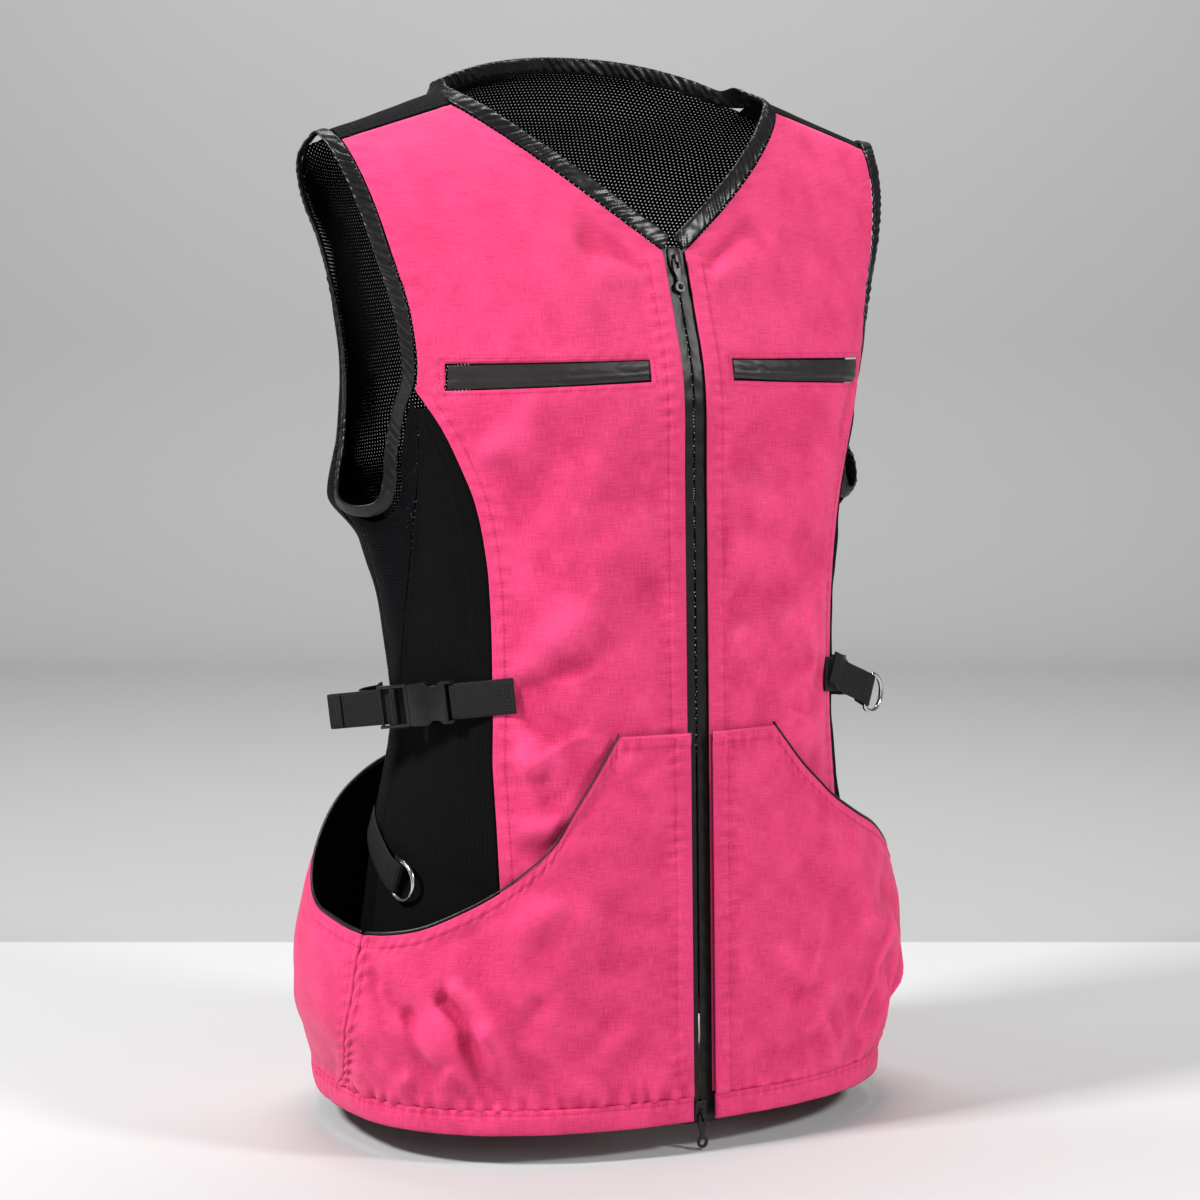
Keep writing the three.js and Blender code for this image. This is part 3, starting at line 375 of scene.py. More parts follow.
def store_painted_light_and_shade(obj, lift):
    """Painted shade and light: store 0.5 on level cloth, up to 1 in hollows and down to 0 on crowns, so that the
    cloth's colour is painted darker in its hollows and lighter on its crowns.
    """
    near, far = hollows(lift, 10), hollows(lift, 60)
    value = 0.5 + 0.5 * np.tanh((near * 0.8 + far * 0.6) / PAINTED_SHADE_MM)
    # painted shade in the hollows and painted light on the crowns, kept for the cloth's colour
    stored = obj.data.attributes.new("painted_light_and_shade", "FLOAT", "POINT").data
    stored.foreach_set("value", value.astype(np.float32).ravel())

def cloth_piece(name, cloth, points, thick, skip=None):
    """A sheet from a grid, its faces turned outwards, given its thickness inwards by a Solidify modifier."""
    CLOTHS[name] = cloth
    faces = grid_faces(*points.shape[:2])
    made = np.cross(np.gradient(points, axis=0), np.gradient(points, axis=1))
    if (made * cloth.n).sum() < 0:
        faces = faces[..., ::-1]
    faces = faces[~skip] if skip is not None else faces.reshape(-1, 4)
    uv = np.stack([cloth.u, cloth.v], -1).reshape(-1, 2)
    obj = make_mesh(name, points.reshape(-1, 3), faces, uv)
    wall = obj.modifiers.new("thickness", "SOLIDIFY")
    wall.thickness, wall.offset = thick * 0.001, -1
    return obj

def finish_piece(obj, material, body="vest", nodes=()):
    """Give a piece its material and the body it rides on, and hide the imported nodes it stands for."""
    obj.data.materials.clear()
    obj.data.materials.append(material)
    if body:
        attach(obj, body)
    if nodes:
        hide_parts(*nodes)
    return obj

# %% [markdown]
# ## Folds, puckers and stitches
#
# Sewn polyester shows three things: a few long soft folds where it is pulled, small waves that
# gather against every line of stitches, and the stitches themselves, sunk a little into the
# cloth. Folds are strokes with a bell-shaped section. Puckers are a wave along the seam that
# dies away from it. Stitches are small beads of thread.

# %% Folds, puckers and stitches
def strokes(a, h, rows):
    """Each row is a0, h0, a1, h1, bow, width, height: a ridge along a bowed line, or a valley if height is negative.
    Its section is a bell, and it widens and fades towards its far end."""
    total = np.zeros(np.broadcast(a, h).shape)
    for a0, h0, a1, h1, bow, width, height in rows:
        length = math.hypot(a1 - a0, h1 - h0)
        ta, th = (a1 - a0) / length, (h1 - h0) / length
        run = (a - a0) * ta + (h - h0) * th
        t = np.clip(run / length, 0, 1)
        off = (h - h0) * ta - (a - a0) * th - 4 * bow * t * (1 - t)
        wide = width * (0.9 + 0.6 * t)
        bell = np.exp(-(off / wide) ** 2 - ((run - t * length) / wide) ** 2)
        total = total + height * bell * (1 - 0.3 * t)
    return total

def creases(a, h, angle, long, wide, seed):
    """Sharp-backed creases lying one way, in patches.
    They are 1 less the size of a stretched noise, so the lines where that noise is zero become ridges."""
    t = math.radians(angle)
    along, over = a * math.cos(t) + h * math.sin(t), h * math.cos(t) - a * math.sin(t)
    sway = 0.35 * hills(along, over, long, seed + 1)
    sharp = 1 - np.minimum(2.2 * np.abs(hills(along / long, over / wide + sway, 1.0, seed)), 1)
    return sharp ** 1.3 * smooth(0.5 + 0.9 * hills(a, h, 1.3 * long, seed + 2))

def pucker(off, along, seed, depth=0.5, spacing=11.0, reach=5.0, groove=0.35):
    """Gathers beside stitches that lie at off = 0: uneven waves that fade away from the seam, and a narrow groove."""
    phase = 2 * np.pi * along / spacing + 2.4 * hills(along, 0, 19, seed) + 0.10 * off * hills(along, 3, 27, seed + 1)
    size = 0.62 + 0.5 * hills(along, 7, 33, seed + 2)
    return depth * size * np.sin(phase) * np.exp(-(off / reach) ** 2) - groove * np.exp(-(off / 1.1) ** 2)

def seam(cloth, edge, inset, seed, band=0.45, **kw):
    """A turned edge: the cloth is double, so a little higher, as far as its stitches, and puckers around them."""
    d = cloth.edge[edge]
    along = cloth.v if edge in ("start", "end") else cloth.u
    return band * (1 - smooth((d - inset + 1.2) / 2.4)) + pucker(d - inset, along, seed, **kw)

STITCH, STITCH_GAP, THREAD, STANDS_UP = 2.3, 0.95, 0.24, 0.12

def stitches(name, rows, material):
    """Beads of thread along lines of (points, normals), end to end with small gaps."""
    places, ways, ups = [], [], []
    for p, n in rows:
        along = np.concatenate([[0], np.cumsum(np.linalg.norm(np.diff(p, axis=0), axis=1))])
        at = np.arange(STITCH, along[-1] - STITCH, STITCH + STITCH_GAP)
        pick = lambda q, s: np.stack([np.interp(s, along, q[:, k]) for k in range(3)], 1)
        places.append(pick(p, at))
        ways.append(pick(p, at + STITCH / 2) - pick(p, at - STITCH / 2))
        ups.append(pick(n, at))
    c, t, n = (np.concatenate(x) for x in (places, ways, ups))
    t /= np.linalg.norm(t, axis=1, keepdims=True)
    n = n - (n * t).sum(1, keepdims=True) * t
    n /= np.linalg.norm(n, axis=1, keepdims=True)
    b = np.cross(n, t)
    corners = ((1, 0), (0, 0.8), (-1, 0), (0, -1))
    ringed = np.array([[x, THREAD * y, THREAD * z] for x in (-0.62, 0.62) for y, z in corners])
    bead = np.vstack([ringed, [[-STITCH / 2, 0, -0.3], [STITCH / 2, 0, -0.3]]])
    long, wide, high = bead[None, :, 0:1], bead[None, :, 1:2], bead[None, :, 2:3] + STANDS_UP
    pts = c[:, None] + long * t[:, None] + wide * b[:, None] + high * n[:, None]
    k = np.arange(4)
    side = np.stack([k, (k + 1) % 4, (k + 1) % 4 + 4, k + 4], 1)
    first_tip, last_tip = np.full(4, 8), np.full(4, 9)
    tris = np.concatenate([side[:, [0, 1, 2]], side[:, [0, 2, 3]], np.stack([(k + 1) % 4, k, first_tip], 1),
                           np.stack([k + 4, (k + 1) % 4 + 4, last_tip], 1)])[:, ::-1]
    faces = (tris[None] + 10 * np.arange(len(c))[:, None, None]).reshape(-1, 3)
    obj = make_mesh(name, pts.reshape(-1, 3), faces)
    print(name, len(c), "stitches")
    return finish_piece(obj, material)

def stitch_line(cloth, final, line):
    return on_grid(final, line), on_grid(cloth.n, line)

# %% [markdown]
# ## Finishes
#
# Cloth is not one colour. What the eye reads as polyester, knit, net or satin is the thread
# pattern in it, so each pattern is a shader node group that is built once: plain weave, herringbone
# knit, open net, ribbed webbing, and a fine grain for moulded parts. The cloth ones read the UV
# map, which is measured in metres of cloth, so the pattern follows each piece wherever it bends.

# %% Node helpers
def new_group(name, inputs, outputs):
    group = bpy.data.node_groups.new(name, "ShaderNodeTree")
    for label, kind, value in inputs:
        socket = group.interface.new_socket(label, in_out="INPUT", socket_type=kind)
        if value is not None:
            socket.default_value = value
    for label, kind in outputs:
        group.interface.new_socket(label, in_out="OUTPUT", socket_type=kind)
    return group, group.nodes.new("NodeGroupInput").outputs, group.nodes.new("NodeGroupOutput").inputs

def feed(tree, socket, value):
    if isinstance(value, bpy.types.NodeSocket):
        tree.links.new(value, socket)
    else:
        socket.default_value = value

def calc(tree, operation, *values, clamp=False):
    """One Math node on numbers or sockets."""
    node = tree.nodes.new("ShaderNodeMath")
    node.operation, node.use_clamp = operation, clamp
    for socket, value in zip(node.inputs, values):
        feed(tree, socket, value)
    return node.outputs[0]

def apart(tree, vector):
    node = tree.nodes.new("ShaderNodeSeparateXYZ")
    tree.links.new(vector, node.inputs[0])
    return node.outputs[0], node.outputs[1]

def noise(tree, vector, scale, detail=2.0, stretch=(1, 1, 1)):
    """Noise from 0 to 1, its space stretched by three factors."""
    grow = tree.nodes.new("ShaderNodeVectorMath")
    grow.operation = "MULTIPLY"
    tree.links.new(vector, grow.inputs[0])
    grow.inputs[1].default_value = stretch
    node = tree.nodes.new("ShaderNodeTexNoise")
    node.inputs["Scale"].default_value, node.inputs["Detail"].default_value = scale, detail
    tree.links.new(grow.outputs[0], node.inputs["Vector"])
    return node.outputs["Fac"]

VECTOR, NUMBER = "NodeSocketVector", "NodeSocketFloat"

# %% [markdown]
# ### Thread patterns
#
# Plain weave is the product of two waves, one for each way of the thread, with slubs: threads
# that are a little thick for a stretch. Herringbone knit is a slanted wave whose slant turns
# over from column to column. Net is a staggered grid of round holes, which go to Alpha.

# %% Plain weave
def plain_weave():
    """Height = sin(2 pi u / pitch) times sin(2 pi v / pitch); Slub = noise drawn out along each thread."""
    g, take, give = new_group("plain weave", [("Vector", VECTOR, None), ("Pitch", NUMBER, 0.0008)],
                              [("Height", NUMBER), ("Slub", NUMBER)])
    u, v = apart(g, take["Vector"])
    wave = lambda x: calc(g, "SINE", calc(g, "MULTIPLY", calc(g, "DIVIDE", x, take["Pitch"]), 2 * math.pi))
    height = calc(g, "MULTIPLY_ADD", calc(g, "MULTIPLY", wave(u), wave(v)), 0.5, 0.5)
    warp = noise(g, take["Vector"], 1.0, 2.0, (1500, 95, 1))
    weft = noise(g, take["Vector"], 1.0, 2.0, (80, 1300, 1))
    g.links.new(height, give["Height"])
    g.links.new(calc(g, "MULTIPLY", calc(g, "ADD", warp, weft), 0.5), give["Slub"])
    return g

# %% Herringbone knit
def herringbone():
    """Height = sine of (v / pitch + slant), where slant is a zigzag across columns of the given width."""
    takes = [("Vector", VECTOR, None), ("Pitch", NUMBER, 0.0024), ("Column", NUMBER, 0.006)]
    g, take, give = new_group("herringbone knit", takes, [("Height", NUMBER), ("Column line", NUMBER)])
    u, v = apart(g, take["Vector"])
    zigzag = calc(g, "PINGPONG", calc(g, "DIVIDE", u, take["Column"]), 0.5)
    turn = calc(g, "ADD", calc(g, "DIVIDE", v, take["Pitch"]), calc(g, "MULTIPLY", zigzag, 3.2))
    height = calc(g, "MULTIPLY_ADD", calc(g, "SINE", calc(g, "MULTIPLY", turn, 2 * math.pi)), 0.5, 0.5)
    line = calc(g, "COSINE", calc(g, "MULTIPLY", calc(g, "DIVIDE", u, take["Column"]), 4 * math.pi))
    g.links.new(height, give["Height"])
    g.links.new(calc(g, "MULTIPLY_ADD", line, 0.5, 0.5), give["Column line"])
    return g

# %% Open net
ROW_STEP = 0.866             # rows of a staggered grid lie this share of a pitch apart
OFFSET = 4000.0              # whole cells added so that the remainders are of positive numbers

def open_net():
    """Staggered round holes: distance to the middle of each cell, every other row half a cell along."""
    takes = [("Vector", VECTOR, None), ("Pitch", NUMBER, 0.003), ("Hole", NUMBER, 0.27)]
    g, take, give = new_group("open net", takes, [("Cloth", NUMBER), ("Height", NUMBER)])
    u, v = apart(g, take["Vector"])
    row = calc(g, "DIVIDE", v, calc(g, "MULTIPLY", take["Pitch"], ROW_STEP))
    odd = calc(g, "MULTIPLY", calc(g, "MODULO", calc(g, "FLOOR", calc(g, "ADD", row, OFFSET)), 2.0), 0.5)
    cell = calc(g, "ADD", calc(g, "DIVIDE", u, take["Pitch"]), odd)
    du = calc(g, "SUBTRACT", calc(g, "FRACT", calc(g, "ADD", cell, OFFSET)), 0.5)
    dv = calc(g, "MULTIPLY", calc(g, "SUBTRACT", calc(g, "FRACT", row), 0.5), ROW_STEP)
    far = calc(g, "SQRT", calc(g, "ADD", calc(g, "MULTIPLY", du, du), calc(g, "MULTIPLY", dv, dv)))
    cloth = calc(g, "MULTIPLY", calc(g, "SUBTRACT", far, take["Hole"]), 25.0, clamp=True)
    g.links.new(cloth, give["Cloth"])
    g.links.new(calc(g, "SUBTRACT", 1.0, calc(g, "MULTIPLY", far, far)), give["Height"])
    return g

# %% Ribbed webbing and moulded grain
def ribbed_web():
    """Cross ribs of a wave along the strap, each broken by the fine wave of the threads that cross it."""
    takes = [("Vector", VECTOR, None), ("Rib", NUMBER, 0.0017)]
    g, take, give = new_group("ribbed webbing", takes, [("Height", NUMBER)])
    u, v = apart(g, take["Vector"])
    rib = calc(g, "ABSOLUTE", calc(g, "SINE", calc(g, "MULTIPLY", calc(g, "DIVIDE", u, take["Rib"]), math.pi)))
    cross = calc(g, "SINE", calc(g, "MULTIPLY", calc(g, "DIVIDE", v, 0.0011), 2 * math.pi))
    g.links.new(calc(g, "MULTIPLY_ADD", cross, 0.25, rib), give["Height"])
    return g

def moulded_grain():
    """Fine sparkle of a spark-eroded mould, and broad patches that are a little more rubbed."""
    g, take, give = new_group("moulded grain", [("Vector", VECTOR, None), ("Scale", NUMBER, 2200.0)],
                              [("Height", NUMBER), ("Rubbed", NUMBER)])
    fine = g.nodes.new("ShaderNodeTexNoise")
    g.links.new(take["Vector"], fine.inputs["Vector"])
    g.links.new(take["Scale"], fine.inputs["Scale"])
    g.links.new(fine.outputs["Fac"], give["Height"])
    g.links.new(noise(g, take["Vector"], 130.0, 4.0), give["Rubbed"])
    return g

WEAVE, KNIT, NET, WEB, GRAIN = plain_weave(), herringbone(), open_net(), ribbed_web(), moulded_grain()
print("node groups:", [g.name for g in (WEAVE, KNIT, NET, WEB, GRAIN)])

# %% [markdown]
# ### Materials
#
# A material is one Principled shader fed by those patterns. The pattern moves the colour a little
# between a dark and a light value, and a Bump node turns its height into relief at its real
# depth, a few hundredths of a millimetre for weave and a tenth or two for ribs.

# %% Materials
def start_material(name, roughness, specular=0.5, **plain):
    material = bpy.data.materials.new(name)
    material.use_nodes = True
    tree = material.node_tree
    shader = tree.nodes["Principled BSDF"]
    shader.inputs["Roughness"].default_value = roughness
    shader.inputs["Specular IOR Level"].default_value = specular
    for label, value in plain.items():
        shader.inputs[label.replace("_", " ")].default_value = value
    return material, tree, shader

def coordinates(tree, cloth=True):
    if cloth:
        node = tree.nodes.new("ShaderNodeUVMap")
        node.uv_map = "cloth"
        return node.outputs["UV"]
    return tree.nodes.new("ShaderNodeTexCoord").outputs["Object"]

def place_group(tree, group, vector, **values):
    node = tree.nodes.new("ShaderNodeGroup")
    node.node_tree = group
    tree.links.new(vector, node.inputs["Vector"])
    for label, value in values.items():
        node.inputs[label].default_value = value
    return node.outputs

def tint(tree, shader, dark, light, factor):
    """Base Color between two values by a factor."""
    node = tree.nodes.new("ShaderNodeMix")
    node.data_type = "RGBA"
    node.inputs[6].default_value, node.inputs[7].default_value = (*dark, 1), (*light, 1)
    feed(tree, node.inputs[0], factor)
    tree.links.new(node.outputs[2], shader.inputs["Base Color"])

def relief(tree, shader, height, depth_mm):
    node = tree.nodes.new("ShaderNodeBump")
    node.inputs["Strength"].default_value, node.inputs["Distance"].default_value = 1.0, depth_mm * 0.001
    tree.links.new(height, node.inputs["Height"])
    tree.links.new(node.outputs["Normal"], shader.inputs["Normal"])

def woven(name, dark, light, roughness, pitch, depth, mottle=0.35, painted_light_and_shade=0.0, **plain):
    """Plain-woven cloth: slubs and a slow mottle in the colour, the weave in the relief.
    Where a strength of painted shade is given, the colour is painted darker in the cloth's stored hollows and lighter
    on its crowns."""
    material, tree, shader = start_material(name, roughness, **plain)
    uv = coordinates(tree)
    weave = place_group(tree, WEAVE, uv, Pitch=pitch)
    slow = noise(tree, coordinates(tree, False), 38.0, 3.0)
    threads = calc(tree, "MULTIPLY_ADD", weave["Slub"], 1.5, -0.25 - mottle / 2)
    factor = calc(tree, "ADD", threads, calc(tree, "MULTIPLY", slow, mottle))
    if painted_light_and_shade:
        # painted shade and light: the stored value darkens the colour in hollows and lightens it on crowns
        place = tree.nodes.new("ShaderNodeAttribute")
        place.attribute_name = "painted_light_and_shade"
        factor = calc(tree, "MULTIPLY_ADD", place.outputs["Fac"], -painted_light_and_shade, calc(tree, "ADD", factor, painted_light_and_shade * 0.5))
    tint(tree, shader, dark, light, calc(tree, "ADD", factor, 0.0, clamp=True))
    slubs = calc(tree, "MULTIPLY", weave["Slub"], 0.8)
    relief(tree, shader, calc(tree, "ADD", calc(tree, "MULTIPLY", weave["Height"], 0.6), slubs), depth)
    return material

def knitted(name, dark, light, roughness, pitch, column, depth, **plain):
    """Herringbone knit with painted sheen: its colour is lighter on the crowns of its ribs, where light would catch."""
    material, tree, shader = start_material(name, roughness, **plain)
    uv = coordinates(tree)
    knit = place_group(tree, KNIT, uv, Pitch=pitch, Column=column)
    fuzz = noise(tree, uv, 900.0, 2.0)
    ribs = calc(tree, "MULTIPLY_ADD", knit["Column line"], 0.35, knit["Height"])
    height = calc(tree, "MULTIPLY_ADD", fuzz, 0.35, ribs)
    # painted sheen: the colour runs from the dark value in the valleys to the light one on the rib crowns
    tint(tree, shader, dark, light, calc(tree, "MULTIPLY", height, 0.6, clamp=True))
    relief(tree, shader, height, depth)
    return material

def netted(name, dark, light, roughness, pitch, hole, depth, **plain):
    """See-through net: holes in Alpha, threads rounded between them."""
    material, tree, shader = start_material(name, roughness, **plain)
    net = place_group(tree, NET, coordinates(tree), Pitch=pitch, Hole=hole)
    tint(tree, shader, dark, light, calc(tree, "MULTIPLY_ADD", net["Height"], 3.0, -2.2, clamp=True))
    relief(tree, shader, net["Height"], depth)
    tree.links.new(net["Cloth"], shader.inputs["Alpha"])
    return material

def webbed(name, dark, light, roughness, rib, depth, **plain):
    material, tree, shader = start_material(name, roughness, **plain)
    web = place_group(tree, WEB, coordinates(tree), Rib=rib)
    tint(tree, shader, dark, light, web["Height"])
    relief(tree, shader, web["Height"], depth)
    return material

def moulded(name, dark, light, roughness, rubbed, depth, **plain):
    """Moulded plastic or plated wire: grain in the relief, rubbed patches in colour and roughness."""
    material, tree, shader = start_material(name, roughness, **plain)
    grain = place_group(tree, GRAIN, coordinates(tree, False))
    tint(tree, shader, dark, light, grain["Rubbed"])
    shiny = calc(tree, "MULTIPLY_ADD", grain["Rubbed"], rubbed, roughness - rubbed / 2)
    tree.links.new(shiny, shader.inputs["Roughness"])
    relief(tree, shader, grain["Height"], depth)
    return material

# the pink cloth's colour carries painted shade in its hollows and painted light on its crowns
PINK = woven("pink polyester", (0.54, 0.013, 0.092), (1.0, 0.078, 0.255), 0.62, 0.0007, 0.07, mottle=0.5,
             painted_light_and_shade=0.62, specular=0.22, Sheen_Weight=0.10, Sheen_Roughness=0.5, Sheen_Tint=(1.0, 0.7, 0.8, 1.0))
# the light values of the two knits are painted sheen on their rib crowns
KNIT_BLACK = knitted("black knit", (0.0008, 0.0008, 0.0012), (0.0075, 0.007, 0.008), 0.85, 0.0022, 0.0062, 0.35,
                     specular=0.07)
YOKE_BLACK = knitted("ribbed yoke knit", (0.0015, 0.0015, 0.002), (0.014, 0.013, 0.015), 0.75, 0.0030, 0.0040, 0.5,
                     specular=0.12)
NET_BLACK = netted("black net", (0.0008, 0.0008, 0.0012), (0.007, 0.007, 0.010), 0.7, 0.0032, 0.17, 0.4,
                   specular=0.08)
SATIN = woven("black satin", (0.002, 0.002, 0.0025), (0.010, 0.009, 0.011), 0.33, 0.0004, 0.012, specular=0.42)
LINING = woven("charcoal lining", (0.010, 0.008, 0.009), (0.032, 0.027, 0.028), 0.44, 0.0004, 0.012,
               Sheen_Weight=0.05, specular=0.3)
LINING_BLACK = woven("black lining", (0.002, 0.002, 0.0025), (0.009, 0.008, 0.009), 0.6, 0.0006, 0.02, specular=0.2)
TAPE = woven("zip tape cloth", (0.003, 0.0025, 0.003), (0.013, 0.011, 0.012), 0.42, 0.0006, 0.02, specular=0.3)
WEBBING = webbed("black webbing", (0.002, 0.002, 0.0025), (0.017, 0.015, 0.016), 0.6, 0.0017, 0.25, specular=0.2)
PLASTIC = moulded("black acetal", (0.004, 0.004, 0.005), (0.009, 0.009, 0.010), 0.36, 0.16, 0.012, specular=0.42)
COIL = moulded("nylon coil", (0.008, 0.008, 0.009), (0.016, 0.016, 0.017), 0.4, 0.1, 0.01)
NICKEL = moulded("nickel wire", (0.55, 0.54, 0.51), (0.74, 0.73, 0.70), 0.22, 0.14, 0.006, Metallic=1.0)
PINK_THREAD = woven("pink thread", (0.42, 0.008, 0.065), (0.74, 0.03, 0.14), 0.6, 0.0004, 0.02)
BLACK_THREAD = woven("black thread", (0.010, 0.010, 0.011), (0.040, 0.039, 0.042), 0.5, 0.0004, 0.02)

# %% [markdown]
# ## The two pink fronts
#
# Each front runs from the zip to the knit side, and from the hem band up to the shoulder seam,
# with the neckline cut out of its inner corner. Its grid has rows that tilt with the chest
# pocket, so that the pocket's mouth is a window of whole cells. The cloth is calm in the middle
# of the chest, drawn towards the waist strap, and puckered along the zip and the side seam.

# %% Fold lines on the fronts (across, height, to across, height, bow, width, height of fold)
FRONT_FOLDS = {
    "right": [(136, 306, 100, 322, 4, 9, -2.6), (136, 300, 88, 250, -9, 12, -3.6), (132, 286, 104, 262, 3, 8, 2.0),
              (138, 318, 92, 350, 3, 12, 2.0), (128, 262, 100, 222, -4, 9, 2.8), (112, 246, 86, 206, 3, 10, -3.0),
              (136, 214, 92, 222, 4, 8, 2.2), (134, 196, 98, 200, 2, 7, -1.8), (22, 349, 62, 384, 6, 15, -1.7),
              (101, 346, 72, 392, 4, 15, 1.7), (24, 250, 58, 330, 5, 15, 1.5), (140, 420, 104, 470, 6, 13, -1.6),
              (124, 475, 88, 452, 4, 17, 1.5), (150, 470, 120, 505, 3, 8, 1.3), (25, 440, 72, 425, 5, 14, -1.4),
              (26, 601, 66, 618, 3, 6, -1.4), (28, 592, 60, 600, 2, 7, 1.2)],
    "left": [(136, 300, 92, 322, -5, 12, -2.4), (138, 312, 96, 352, 4, 12, 2.0), (134, 284, 84, 262, 4, 11, 2.0),
             (26, 357, 86, 368, 7, 14, -2.8), (24, 330, 90, 338, 5, 13, 2.0), (44, 474, 94, 492, 5, 15, -2.4),
             (20, 462, 60, 452, 3, 11, -1.6), (60, 430, 118, 448, -6, 16, 1.9), (24, 395, 72, 408, 5, 13, 1.8),
             (122, 389, 88, 400, 5, 14, -1.4), (150, 480, 166, 520, 2, 7, -1.5), (26, 603, 70, 628, 3, 6, -1.6),
             (26, 592, 66, 606, 2, 7, 1.3)]}
WINDOW_X = (33.0, 168.0)     # the chest pocket's window, across, and the heights of its inner end
WINDOW_LOW, WINDOW_TOP = 522, 537
ZIP_STITCH, SIDE_STITCH, HIP_STITCH, MOUTH_STITCH = 12.5, 9.0, 6.0, 8.5

# %% Fronts
def front_rows():
    """Inner across, inner height and outer height of every row; the two rows of the pocket window are among them."""
    parts = [np.linspace(HEM_TOP, WINDOW_LOW, 236), np.linspace(WINDOW_LOW, WINDOW_TOP, 9),
             np.linspace(WINDOW_TOP, NECK_FOOT, 36)]
    low = np.unique(np.round(np.concatenate(parts), 4))
    out = np.interp(low, [HEM_TOP, 497, WINDOW_LOW, WINDOW_TOP, 557, 577, 594, NECK_FOOT],
                    [HEM_TOP, 497, 515, 534, 556, 577, 594, 607])
    t = np.linspace(0, 1, 72)[1:]
    x, h = neckline(t)
    outer = np.concatenate([out, mix(607, 688, t)])
    return np.concatenate([np.full(len(low), ZIP_EDGE), x]), np.concatenate([low, h]), outer

WINDOW_SIDE = float(side_edge(515))

def front_columns():
    """Shares across a front, closer together beside its two long seams, with one on each end of the pocket window."""
    width = 165.0
    parts = [np.linspace(0, 17, 18), np.linspace(19.6, width - 17.6, 50), np.linspace(width - 16, width, 17)]
    d = np.concatenate(parts) / width
    for x in WINDOW_X:
        share = (x - ZIP_EDGE) / (WINDOW_SIDE - ZIP_EDGE)
        d[np.abs(d - share).argmin()] = share
    return d

inner_x, inner_h, outer_h = front_rows()
FRONT_U = front_columns()
FRONT_X = FRONT_U * (WINDOW_SIDE - ZIP_EDGE) + ZIP_EDGE

def front_cloth(m):
    u = FRONT_U[:, None]
    outer_x = side_edge(outer_h) - np.where(outer_h > ARM_CORNER, SEAM_GAP, 0)
    x, h = mix(inner_x, outer_x, u), mix(inner_h, outer_h, u)
    return Cloth(to_side(front(x, h), m)), x, h

def front_lift(c, x, h, side, seed):
    start, end, top = c.edge["start"], c.edge["end"], c.edge["top"]
    calm = smooth(np.minimum(np.minimum(start - 9, end - 7), top - 4) / 20)
    under = mix(mix(0.35, 1.0, smooth((x - 40) / 60)), 1.0, smooth((h - 262) / 30))
    soft = 2.6 * hills(x, h, 66, seed) + 1.9 * hills(x, h, 34, seed + 1)
    soft = soft + 0.7 * hills(x * 1.5, h, 17, seed + 2) + 0.18 * hills(x, h * 1.6, 7, seed + 3)
    waist = np.exp(-((h - 290) / 75) ** 2) * smooth((x - 30) / 70)
    chest = smooth((h - 380) / 120)
    soft = soft * mix(1.0, 0.55, chest)
    soft = soft + 2.6 * waist * creases(x, h, -38, 60, 28, seed + 31)
    soft = soft + 0.9 * creases(x, h, 22, 80, 36, seed + 35) * (1 - chest)
    lift = calm * under * (0.8 * soft + 1.7 * strokes(x, h, FRONT_FOLDS[side]))
    neck = smooth((inner_h - 606) / 8)[None]
    arm = smooth((outer_h - ARM_CORNER + 6) / 6)[None]
    lift += (1 - neck) * seam(c, "start", ZIP_STITCH, seed + 5, band=0.6, depth=0.6, spacing=10.5, reach=6.0)
    lift += neck * pucker(start - 5, c.v, seed + 9, depth=0.3, spacing=17, reach=7, groove=0)
    lift += (1 - arm) * seam(c, "end", SIDE_STITCH, seed + 13, band=0.5, depth=0.6, spacing=11.5, reach=6.0)
    lift += arm * pucker(end - 4, c.v, seed + 17, depth=0.35, spacing=15, reach=7, groove=0)
    share = (x - ZIP_EDGE) / 172
    outside = np.hypot(np.maximum(np.maximum(WINDOW_X[0] - x, x - WINDOW_X[1]), 0),
                       np.maximum(np.maximum(WINDOW_LOW - 7 * share - h, h - WINDOW_TOP + 3 * share), 0))
    round_window = pucker(outside - 3.2, x + h, seed + 21, depth=0.32, spacing=12, reach=5, groove=0.3)
    return np.maximum(lift, -2.6 + 0.4 * np.tanh(lift + 2.6)) + round_window - 0.5 * np.exp(-outside / 2.0)

fronts = {}
for side, m in SIDES:
    cloth, x, h = front_cloth(m)
    lift = front_lift(cloth, x, h, side, 100 if m < 0 else 200)
    final = cloth.raised(lift)
    hole_u = (FRONT_X[:-1] >= WINDOW_X[0] - 0.01) & (FRONT_X[1:] <= WINDOW_X[1] + 0.01)
    hole_v = (inner_h[:-1] >= WINDOW_LOW - 0.01) & (inner_h[1:] <= WINDOW_TOP + 0.01)
    panel = cloth_piece(f"pink_front_{side}", cloth, final, 1.1, hole_u[:, None] & hole_v[None])
    finish_piece(panel, PINK, nodes=[f"front_panel_{side}"])
    # painted shade in this cloth's hollows and painted light on its crowns
    store_painted_light_and_shade(panel, lift)
    fronts[side] = cloth, final
    print(panel.name, len(panel.data.polygons), "faces; folds from",
          round(float(lift.min()), 1), "to", round(float(lift.max()), 1), "mm")

# %% [markdown]
# ### Stitches on the fronts
#
# The zip is held by a row of stitches 12.5 mm in from the edge, the side seam by one at 9 mm, and
# the pocket's window has a row all round, 3 mm outside its edge.

